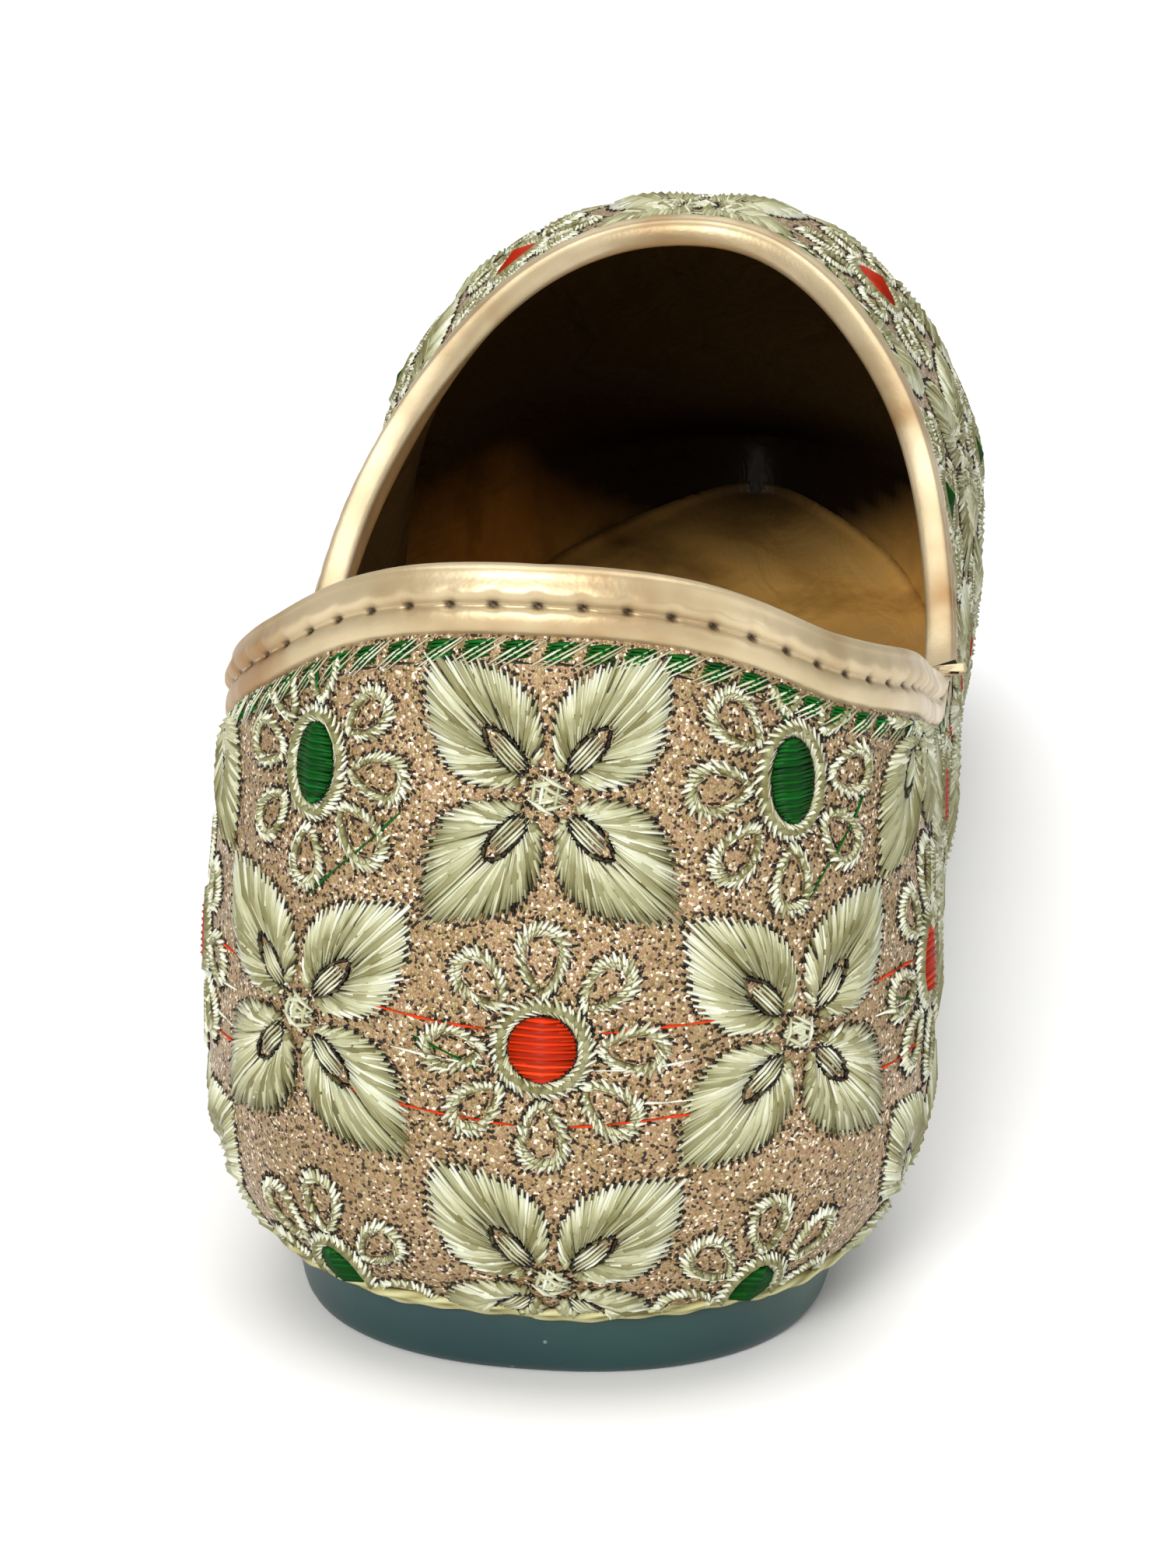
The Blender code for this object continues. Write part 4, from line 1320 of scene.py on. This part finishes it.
class MOJARI_OT_embroidery(bpy.types.Operator):
    """Leaf flowers and eyed flowers in floss, on a chequered lattice over quarters and vamp"""

    bl_idname = "mojari.embroidery"
    bl_label = "Embroidery"

    def execute(self, context):
        last = Last(context.scene.mojari_last)
        settings = context.scene.mojari_thread
        rng = np.random.default_rng(SEED)
        leaves = [leaf_flower(SEED + i) for i in range(3)]
        eyed = {kind: [eyed_flower(SEED + 10 * kind + i, kind) for i in range(2)] for kind in (ORANGE, GREEN)}
        quarter = quarter_chart(last)
        vamp = vamp_chart(last)
        under_binding = last.size.binding_depth + 0.5 * MM
        over_cord = 4.4 * MM
        over_vamp_cord = 3.0 * MM
        motif_reach = 14 * MM
        limit = distance_round(last, SEAM_ALONG)

        def quarter_room(places):
            below_edge = quarter.read(quarter.from_edge, places) - under_binding
            room = np.minimum(below_edge, places[:, 1] - over_cord)
            return np.minimum(room, limit - np.abs(places[:, 0]))

        def vamp_room(places):
            below_edge = vamp.read(vamp.from_edge, places) - under_binding
            room = np.minimum(below_edge, places[:, 1] - SEAM_ALONG)
            return np.minimum(room, vamp.read(vamp.from_foot, places) - over_vamp_cord)

        batches = {region: {PALE: [], ORANGE: [], GREEN: []} for region in ("quarter", "vamp")}

        def put(chart_name, chart, room, middle, is_leaf, centre_kind):
            if room(np.array([middle]))[0] < -motif_reach:
                return
            work = leaves[rng.integers(3)] if is_leaf else eyed[centre_kind][rng.integers(2)]
            turn, scale = math.radians(rng.uniform(-2.5, 2.5)), rng.uniform(0.98, 1.03)
            for (kind, stations), rows in work.rows.items():
                moved = placed(np.concatenate(rows), np.array(middle), turn, scale, rng)
                batches[chart_name][kind].append((chart, stations, trimmed(moved, room)))

        columns = int(limit / settings.pitch_around) + 1
        low_leaf_shift, low_flower_shift = (1.0 * MM, -0.5 * MM), (-1.8 * MM, -4.6 * MM)
        for row in range(3):
            for k in range(-columns, columns + 1):
                is_leaf = (k + row) % 2 == 0
                middle = np.array([k * settings.pitch_around, -row * settings.pitch_up])
                middle += np.array([settings.sideways, settings.first_row])
                if row == 2 and is_leaf:
                    middle += low_leaf_shift
                elif row == 2:
                    middle += np.array(low_flower_shift) * (np.sign(k), 1)
                put("quarter", quarter, quarter_room, middle, is_leaf, ORANGE if row % 2 else GREEN)
        first_vamp_row = SEAM_ALONG + 9 * MM
        for row in range(8):
            for k in range(-4, 5):
                middle = np.array([k * settings.pitch_up, first_vamp_row + row * settings.pitch_up])
                put("vamp", vamp, vamp_room, middle, (k + row) % 2 == 0, ORANGE if k % 2 else GREEN)

        def jump(kind, start, end, tone=0.6):
            """A loose thread carried over the ground between motifs, in runs short enough to hug the wall."""
            start, end = np.array(start) * MM, np.array(end) * MM
            lift, width, run = 0.10 * MM, 0.34 * MM, 4 * MM
            runs = max(1, round(np.linalg.norm(end - start) / run))
            at = np.linspace(0, 1, runs + 1)[:, None]
            chain = start + (end - start) * at
            chain[1:-1] += rng.normal(0, 0.12 * MM, chain[1:-1].shape)
            work = Threads(0)
            overlap = unit(chain[1:] - chain[:-1]) * 0.1 * MM
            work.add(kind, chain[:-1], chain[1:] + overlap, (width, width), (lift, lift), 0.03 * MM, tone)
            rows = work.rows[kind, SHORT][0]
            batches["quarter"][kind].append((quarter, SHORT, trimmed(rows, quarter_room)))

        orange_row = (settings.first_row - settings.pitch_up) / MM
        pitch = settings.pitch_around / MM
        for k in (-4, -2, 0, 2, 4):
            middle = settings.sideways / MM + k * pitch
            for way in (-1, 1):
                leaf_side, low_leaf_side = middle + way * (pitch - 3), middle + way * (pitch - 6)
                jump(ORANGE, (middle + way * 5.5, orange_row + 1.6), (leaf_side, orange_row + 3.0))
                jump(ORANGE, (middle + way * 2.5, orange_row - 7.6), (low_leaf_side, orange_row - 6.2))
                far_side = middle + way * 14.5
                jump(PALE, (middle + way * 5.0, orange_row - 2.0), (far_side, orange_row - 1.2), 1.0)
            jump(PALE, (middle + 8.5, orange_row - 5.2), (middle + 15.5, orange_row - 5.0), 1.0)
            jump(GREEN, (middle - 12.5, orange_row + 0.2), (middle - 5.6, orange_row - 2.4))
        for k in (-3, -1, 1, 3):
            middle = settings.sideways / MM + k * pitch
            top_row = settings.first_row / MM
            jump(GREEN, (middle + 0.5, top_row - 12.5), (middle + 10.5, top_row - 3.0))
            jump(GREEN, (middle - 0.5, top_row + 5.0), (middle - 1.2, top_row + 9.0))

        # Pale floss ramp: its near-black end is painted shade in needle holes and gaps, olive is painted
        # shade on strands turned from the light, and the bright end is painted highlight.
        pale_stops = [
            (0.0, colour(settings.dark)), (0.10, colour(settings.dark)), (0.30, colour(settings.olive)),
            (0.62, colour(settings.pale)), (1.0, colour(settings.bright)),
        ]
        pale = floss("pale_rayon_floss", pale_stops)
        orange_stops = [(0.0, colour("#7A1602")), (0.5, colour(settings.orange)), (1.0, colour("#F0501A"))]
        orange = floss("orange_rayon_floss", orange_stops, 0.42, 0.12)
        green_stops = [(0.0, colour("#012A08")), (0.5, colour(settings.green)), (1.0, colour("#0C6E2A"))]
        green = floss("green_rayon_floss", green_stops, 0.42, 0.12)
        for region, kinds in batches.items():
            for kind, material, word in ((ORANGE, orange, "orange"), (GREEN, green, "green")):
                piece = strand_mesh(f"{region}_{word}_floss", kinds[kind], last, material)
                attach(piece, BODY)
            for i, group in enumerate(even_groups(kinds[PALE])):
                piece = strand_mesh(f"{region}_pale_floss_{i + 1}", group, last, pale)
                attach(piece, BODY)
        self.border(last, context, pale, green)
        return {"FINISHED"}

    def border(self, last, context, pale, green):
        """Green and pale stitches along the lower edge of the binding."""
        chart = edge_chart(last)
        rng = np.random.default_rng(SEED + 3)
        stitch_pitch = 3.7 * MM
        count = round(chart.around / stitch_pitch)
        pitch = chart.around / count
        depth = last.size.binding_depth + 1.25 * MM
        green_width, pale_width, dark_width = (0.50 * MM,) * 2, (0.28 * MM,) * 2, (0.34 * MM,) * 2
        green_lift, pale_lift = (0.03 * MM,) * 2, (0.12 * MM,) * 2
        work = Threads(1)
        for i in range(count):
            at = i * pitch + rng.normal(0, 0.15 * MM)
            for j in range(5):
                level = depth + (-0.70 + 0.34 * j) * MM
                start = (at + (0.1 + 0.12 * j) * MM, level)
                end = (at + (2.9 + 0.12 * j) * MM, level + 0.25 * MM)
                tone = 0.45 + rng.normal(0, 0.15)
                work.add(GREEN, start, end, green_width, green_lift, 0.12 * MM, tone)
            for j in range(3):
                start = (at + (4.3 - 0.55 * j) * MM, depth + (1.5 + 0.15 * j) * MM)
                end = (at + (0.4 - 0.75 * j + rng.normal(0, 0.15)) * MM, depth - 0.95 * MM)
                tone = 0.74 + rng.normal(0, 0.14)
                work.add(PALE, start, end, pale_width, pale_lift, 0.18 * MM, tone)
            # A near-black strand along the green band's lower edge, at the pale strands' lower ends: painted
            # shade.
            start = (at + 0.1 * MM, depth + 1.35 * MM)
            end = (at + 3.4 * MM, depth + 1.15 * MM)
            work.add(PALE, start, end, dark_width, (0.0, 0.0), 0.05 * MM, 0.02)
        for name, kind, material in (("border_green_floss", GREEN, green), ("border_pale_floss", PALE, pale)):
            rows = np.concatenate(work.rows[kind, SHORT])
            piece = strand_mesh(name, [(chart, SHORT, rows)], last, material)
            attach(piece, BODY)


class MOJARI_OT_edge_cord(bpy.types.Operator):
    """Two twisted cords that cover the upper's edge at the sole"""

    bl_idname = "mojari.edge_cord"
    bl_label = "Edge cord"

    def execute(self, context):
        last = Last(context.scene.mojari_last)
        outer, inner = last.widest_curve(LATERAL), last.widest_curve(MEDIAL)
        ring = np.concatenate([outer, inner[-2:0:-1]])
        closed = np.concatenate([ring, ring[:1]])
        lengths = lengths_of(closed)
        stations = 1200
        at = np.linspace(0, lengths[-1], stations + 1)[:-1]
        ring = read_curve(closed, lengths, at)
        out = last.plan_normals(ring)
        swell = last.swell(ring[:, 1])
        drop = ring[:, 2] - last.seat(ring[:, 1])
        sides = 6
        corner = np.arange(sides) / sides * 2 * math.pi
        gold = colour(context.scene.mojari_leather.cord)
        # The dark end of the ramp is painted shade in the twist's grooves.
        stops = [(0.0, colour("#2C2814")), (0.45, gold), (1.0, colour("#CFCB9C"))]
        material = floss("pale_gold_cord", stops, 0.5)
        twist = 0.9 * MM
        # Name, angle down the tuck in degrees, radius, way of the twist, and how far it stands out, in mm.
        cords = (("edge_cord_low", 86, 0.48, 1, 0.75), ("edge_cord_high", 67, 0.52, -1, 0.25))
        for name, lay, radius, turn, stand in cords:
            bend = math.radians(lay)
            wave = np.sin(at / MM / 4.6 + lay) * 0.16 + np.sin(at / MM / 2.1) * 0.08
            middle = ring - out * (swell * (1 - math.cos(bend)) - stand * MM)[:, None]
            middle[:, 2] -= drop * math.sin(bend) + (wave - 0.10) * MM
            tangent = unit(np.roll(middle, -1, axis=0) - np.roll(middle, 1, axis=0))
            up = unit(np.cross(out, tangent))
            ply = corner[None] * 2 + turn * at[:, None] / twist
            reach = radius * MM * (1 + 0.16 * np.sin(ply))
            points = middle[:, None] + out[:, None] * (np.cos(corner) * reach)[..., None]
            points = points + up[:, None] * (np.sin(corner) * reach)[..., None]
            # Tone follows the twist: painted highlight on the ply crests and painted shade in the grooves,
            # with a slow drift along the cord.
            tone = 0.5 + 0.35 * np.sin(ply) + 0.1 * np.sin(at / MM / 7.0)[:, None]
            faces = grid_faces(stations, sides, True)
            cord = new_mesh(name, points.reshape(-1, 3), faces, last, tone.ravel())
            outward(cord)
            cord.data.materials.append(material)
            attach(cord, BODY)
        return {"FINISHED"}


def strip_cap(columns, first, rows):
    """Quads across one ring of a grid, from its outer to its inner side, between the back and the toe."""
    half = columns // 2
    ring = np.arange(columns) * rows + first
    return [(ring[k], ring[k + 1], ring[columns - k - 1], ring[columns - k]) for k in range(1, half - 1)]


class MOJARI_OT_sole(bpy.types.Operator):
    """Moulded teal rubber sole with soft edges"""

    bl_idname = "mojari.sole"
    bl_label = "Sole"

    def execute(self, context):
        last = Last(context.scene.mojari_last)
        stations = crowded(0, last.size.length, 150)[1:-1]
        breast = column_of(TREAD, TREAD_COLUMNS, "along")[1:3] * last.size.length
        stations = np.sort(np.concatenate([stations, breast, breast.mean()[None]]))
        curves = {}
        for side in (LATERAL, MEDIAL):
            curve = last.widest_curve(side)
            cells = np.column_stack([np.interp(stations, curve[:, 1], curve[:, i]) for i in range(3)])
            curves[side] = np.concatenate([curve[:1], cells, curve[-1:]])
        ring = np.concatenate([curves[LATERAL], curves[MEDIAL][-2:0:-1]])
        out = last.plan_normals(ring)
        past_upper = 0.5 * MM
        edge = ring - out * (last.swell(ring[:, 1]) - past_upper)[:, None]
        tread = last.tread(ring[:, 1])
        # Inset from the edge in mm, and drop from the sole's top to the tread as a share.
        profile = [(2.2, 0.0), (1.0, 0.0), (0.25, 0.01), (0.03, 0.06)]
        profile += [(0.0, 0.15), (0.05, 0.30), (0.16, 0.45), (0.30, 0.60), (0.48, 0.74)]
        profile += [(0.72, 0.86), (1.05, 0.94), (1.45, 0.985), (2.0, 1.0)]
        rings = []
        for inset, drop in profile:
            moved = edge - out * (inset * MM)
            seat = last.seat(moved[:, 1]) - last.size.gap
            rings.append(np.column_stack([moved[:, :2], seat + (tread - seat) * drop]))
        grid = np.stack(rings, axis=1)
        columns, rows = grid.shape[:2]
        quads = np.concatenate([
            grid_faces(columns, rows, False), strip_cap(columns, 0, rows), strip_cap(columns, rows - 1, rows)
        ])
        sole = new_mesh("outsole_rubber", grid.reshape(-1, 3), quads, last)
        outward(sole)
        sole.data.set_sharp_from_angle(angle=math.radians(60))
        sole.data.materials.append(teal_rubber(context.scene.mojari_leather))
        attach(sole, BODY)
        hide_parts("outsole")
        return {"FINISHED"}


class MOJARI_OT_insole(bpy.types.Operator):
    """Leather insole, softly dented and wrinkled, with painted shade towards the toe"""

    bl_idname = "mojari.insole"
    bl_label = "Insole"

    def execute(self, context):
        last = Last(context.scene.mojari_last)
        size = last.size
        clearance = 0.3 * MM
        edges = {}
        for side in (LATERAL, MEDIAL):
            curve = last.widest_curve(side)
            out = outward_in_plan(unit(np.gradient(curve[:, :2], axis=0)), side)
            inner_swell = np.maximum(last.swell(curve[:, 1]) - size.wall, size.wall / 3)
            inset = size.wall + inner_swell * 0.5 + clearance
            edges[side] = curve[:, :2] - out * inset[:, None]
        margin = 0.1 * MM
        back = max(edges[LATERAL][0, 1], edges[MEDIAL][0, 1]) + margin
        tip = min(edges[LATERAL][-1, 1], edges[MEDIAL][-1, 1]) - margin
        alongs = crowded(back, tip, 160)
        shares = np.linspace(-1, 1, 45)
        left = np.interp(alongs, edges[LATERAL][:, 1], edges[LATERAL][:, 0])
        right = np.interp(alongs, edges[MEDIAL][:, 1], edges[MEDIAL][:, 0])
        middle, half = (left + right) / 2, (right - left) / 2
        x = middle[:, None] + half[:, None] * shares[None]
        y = np.repeat(alongs[:, None], len(shares), axis=1)
        mm_x, mm_y = x / MM, y / MM
        wrinkles = 0.30 * np.sin(mm_y / 4.1 + 1.8 * np.sin(mm_x / 9.0)) * np.sin(mm_x / 7.3 + mm_y / 23.0)
        wrinkles += 0.22 * np.sin(mm_x / 3.1 + mm_y / 6.0) * np.sin(mm_y / 11.0)
        dish = -0.7 * (1 - shares[None] ** 2)
        rim = np.clip((1 - np.abs(shares[None])) / 0.12, 0, 1)
        base = last.seat(y) + size.wall + size.gap
        top = base + size.insole_thickness + (wrinkles * rim + dish + 1.2 * (1 - rim) ** 2) * MM
        # The core fills the space inside the turned-in margin, away from the sides and ends.
        core_half_width, core_from_end = 0.66, 9 * MM
        ends_clear = np.minimum(y - back, tip - y) > core_from_end
        core = (np.abs(shares[None]) < core_half_width) & ends_clear
        low = np.where(core, last.seat(y), base)
        upper_points = np.stack([x, y, top], axis=-1)
        lower_points = np.stack([x, y, low], axis=-1)[:, ::-1]
        grid = np.concatenate([upper_points, lower_points], axis=1)
        columns, rows = grid.shape[:2]
        i = np.arange(columns - 1)[:, None]
        i1 = i + 1
        j = np.arange(rows)[None]
        j1 = (j + 1) % rows
        quads = np.stack([i * rows + j, i1 * rows + j, i1 * rows + j1, i * rows + j1], axis=-1)
        quads = quads.reshape(-1, 4)
        half_rows = rows // 2
        ends = []
        for start in (0, (columns - 1) * rows):
            for k in range(half_rows - 1):
                ends.append((start + k, start + k + 1, start + rows - 2 - k, start + rows - 1 - k))
        # Painted shade deep inside the toe: the insole darkens towards it, mixing in the near-black lining
        # colour.
        shade_from_along = 244
        painted_toe_shade = np.clip((grid[..., 1] / MM - shade_from_along) / 28, 0, 1).ravel() * 0.92
        obj = new_mesh("insole_leather", grid.reshape(-1, 3), np.concatenate([quads, ends]), last, painted_toe_shade)
        outward(obj)
        leather = context.scene.mojari_leather
        dark, light = "#8A5E28", "#DDB26C"
        material = inner_leather("gold_tan_insole_leather", dark, leather.insole, light, 0.45, leather.lining)
        obj.data.materials.append(material)
        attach(obj, BODY)
        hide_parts("insole")
        return {"FINISHED"}


def looking(place, target, roll=0.0):
    """World matrix of a camera or light at a place, aimed at a target, rolled by an angle."""
    place, target = np.array(place), np.array(target)
    ahead = unit(target - place)
    right = unit(np.cross(ahead, (0, 0, 1)))
    up = np.cross(right, ahead)
    turned_right = right * math.cos(roll) + up * math.sin(roll)
    turned_up = up * math.cos(roll) - right * math.sin(roll)
    columns = (turned_right, turned_up, -ahead, place)
    return Matrix([[float(c[i]) for c in columns] for i in range(3)] + [[0, 0, 0, 1]])


def add_light(name, kind, place, target, power):
    data = bpy.data.lights.new(name, kind)
    data.energy = power
    lamp = bpy.data.objects.new(name, data)
    bpy.context.scene.collection.objects.link(lamp)
    lamp.matrix_world = looking(place, target)
    return data


def area_light(name, place, target, size, power, tint):
    data = add_light(name, "AREA", place, target, power)
    data.shape = "RECTANGLE"
    data.size, data.size_y = size
    data.color = tint


class MOJARI_OT_stage(bpy.types.Operator):
    """Pale floor, soft studio light and the camera"""

    bl_idname = "mojari.stage"
    bl_label = "Stage"

    def execute(self, context):
        scene = context.scene
        settings = scene.mojari_stage
        bpy.ops.object.select_all(action="DESELECT")
        bpy.ops.mesh.primitive_grid_add(x_subdivisions=8, y_subdivisions=8, size=8)
        floor = context.object
        floor.name = "floor"
        floor.data.materials.append(paper_floor(settings))
        world = bpy.data.worlds.new("studio")
        scene.world = world
        world.use_nodes = True
        background = world.node_tree.nodes["Background"]
        background.inputs["Color"].default_value = (1, 1, 1, 1)
        background.inputs["Strength"].default_value = settings.surround
        warm, cool = (1.0, 0.985, 0.96), (0.95, 0.98, 1.0)
        key_place, heel = (-0.22, -1.15, 0.66), (0, 0.05, 0.04)
        area_light("key", key_place, heel, (0.45, 0.35), settings.key_power, warm)
        waist = (0, 0.15, 0.04)
        overhead = add_light("overhead", "SUN", (0.0, 0.45, 2.2), waist, settings.overhead_strength)
        overhead.angle = 1.15
        fill_place, heel_base = (0.95, -0.5, 0.5), (0, 0, 0.05)
        area_light("fill", fill_place, heel_base, (0.6, 0.6), settings.fill_power, cool)
        camera = bpy.data.cameras.new("camera")
        camera.sensor_fit = "HORIZONTAL"
        camera.sensor_width = 36
        camera.lens = settings.focal
        camera.clip_start = 0.01
        view = bpy.data.objects.new("camera", camera)
        scene.collection.objects.link(view)
        place = np.array([settings.camera_x, settings.camera_y, settings.camera_z])
        view.matrix_world = looking(place, place + np.array(CAMERA_AHEAD), math.radians(CAMERA_ROLL))
        scene.camera = view
        scene.view_settings.view_transform = "Standard"
        scene.view_settings.look = "None"
        return {"FINISHED"}


class MOJARI_PT_panel(bpy.types.Panel):
    """Lists the steps that build the shoe"""

    bl_idname = "MOJARI_PT_panel"
    bl_label = "Mojari"
    bl_space_type = "VIEW_3D"
    bl_region_type = "UI"
    bl_category = "Mojari"

    def draw(self, context):
        for step in STEPS:
            self.layout.operator(step.bl_idname)


STEPS = (
    MOJARI_OT_upper_fabric,
    MOJARI_OT_lining,
    MOJARI_OT_binding,
    MOJARI_OT_embroidery,
    MOJARI_OT_edge_cord,
    MOJARI_OT_sole,
    MOJARI_OT_insole,
    MOJARI_OT_stage,
)
GROUPS = (
    ("mojari_last", LastSizes),
    ("mojari_thread", ThreadSettings),
    ("mojari_leather", LeatherSettings),
    ("mojari_stage", StageSettings),
)


def register():
    for name, group in GROUPS:
        bpy.utils.register_class(group)
        setattr(bpy.types.Scene, name, bpy.props.PointerProperty(type=group))
    for step in STEPS:
        bpy.utils.register_class(step)
    bpy.utils.register_class(MOJARI_PT_panel)


def unregister():
    bpy.utils.unregister_class(MOJARI_PT_panel)
    for step in reversed(STEPS):
        bpy.utils.unregister_class(step)
    for name, group in reversed(GROUPS):
        delattr(bpy.types.Scene, name)
        bpy.utils.unregister_class(group)


def main():
    register()
    bpy.ops.mojari.upper_fabric()
    bpy.ops.mojari.lining()
    bpy.ops.mojari.binding()
    bpy.ops.mojari.embroidery()
    bpy.ops.mojari.edge_cord()
    bpy.ops.mojari.sole()
    bpy.ops.mojari.insole()
    bpy.ops.mojari.stage()


if __name__ == "__main__":
    main()
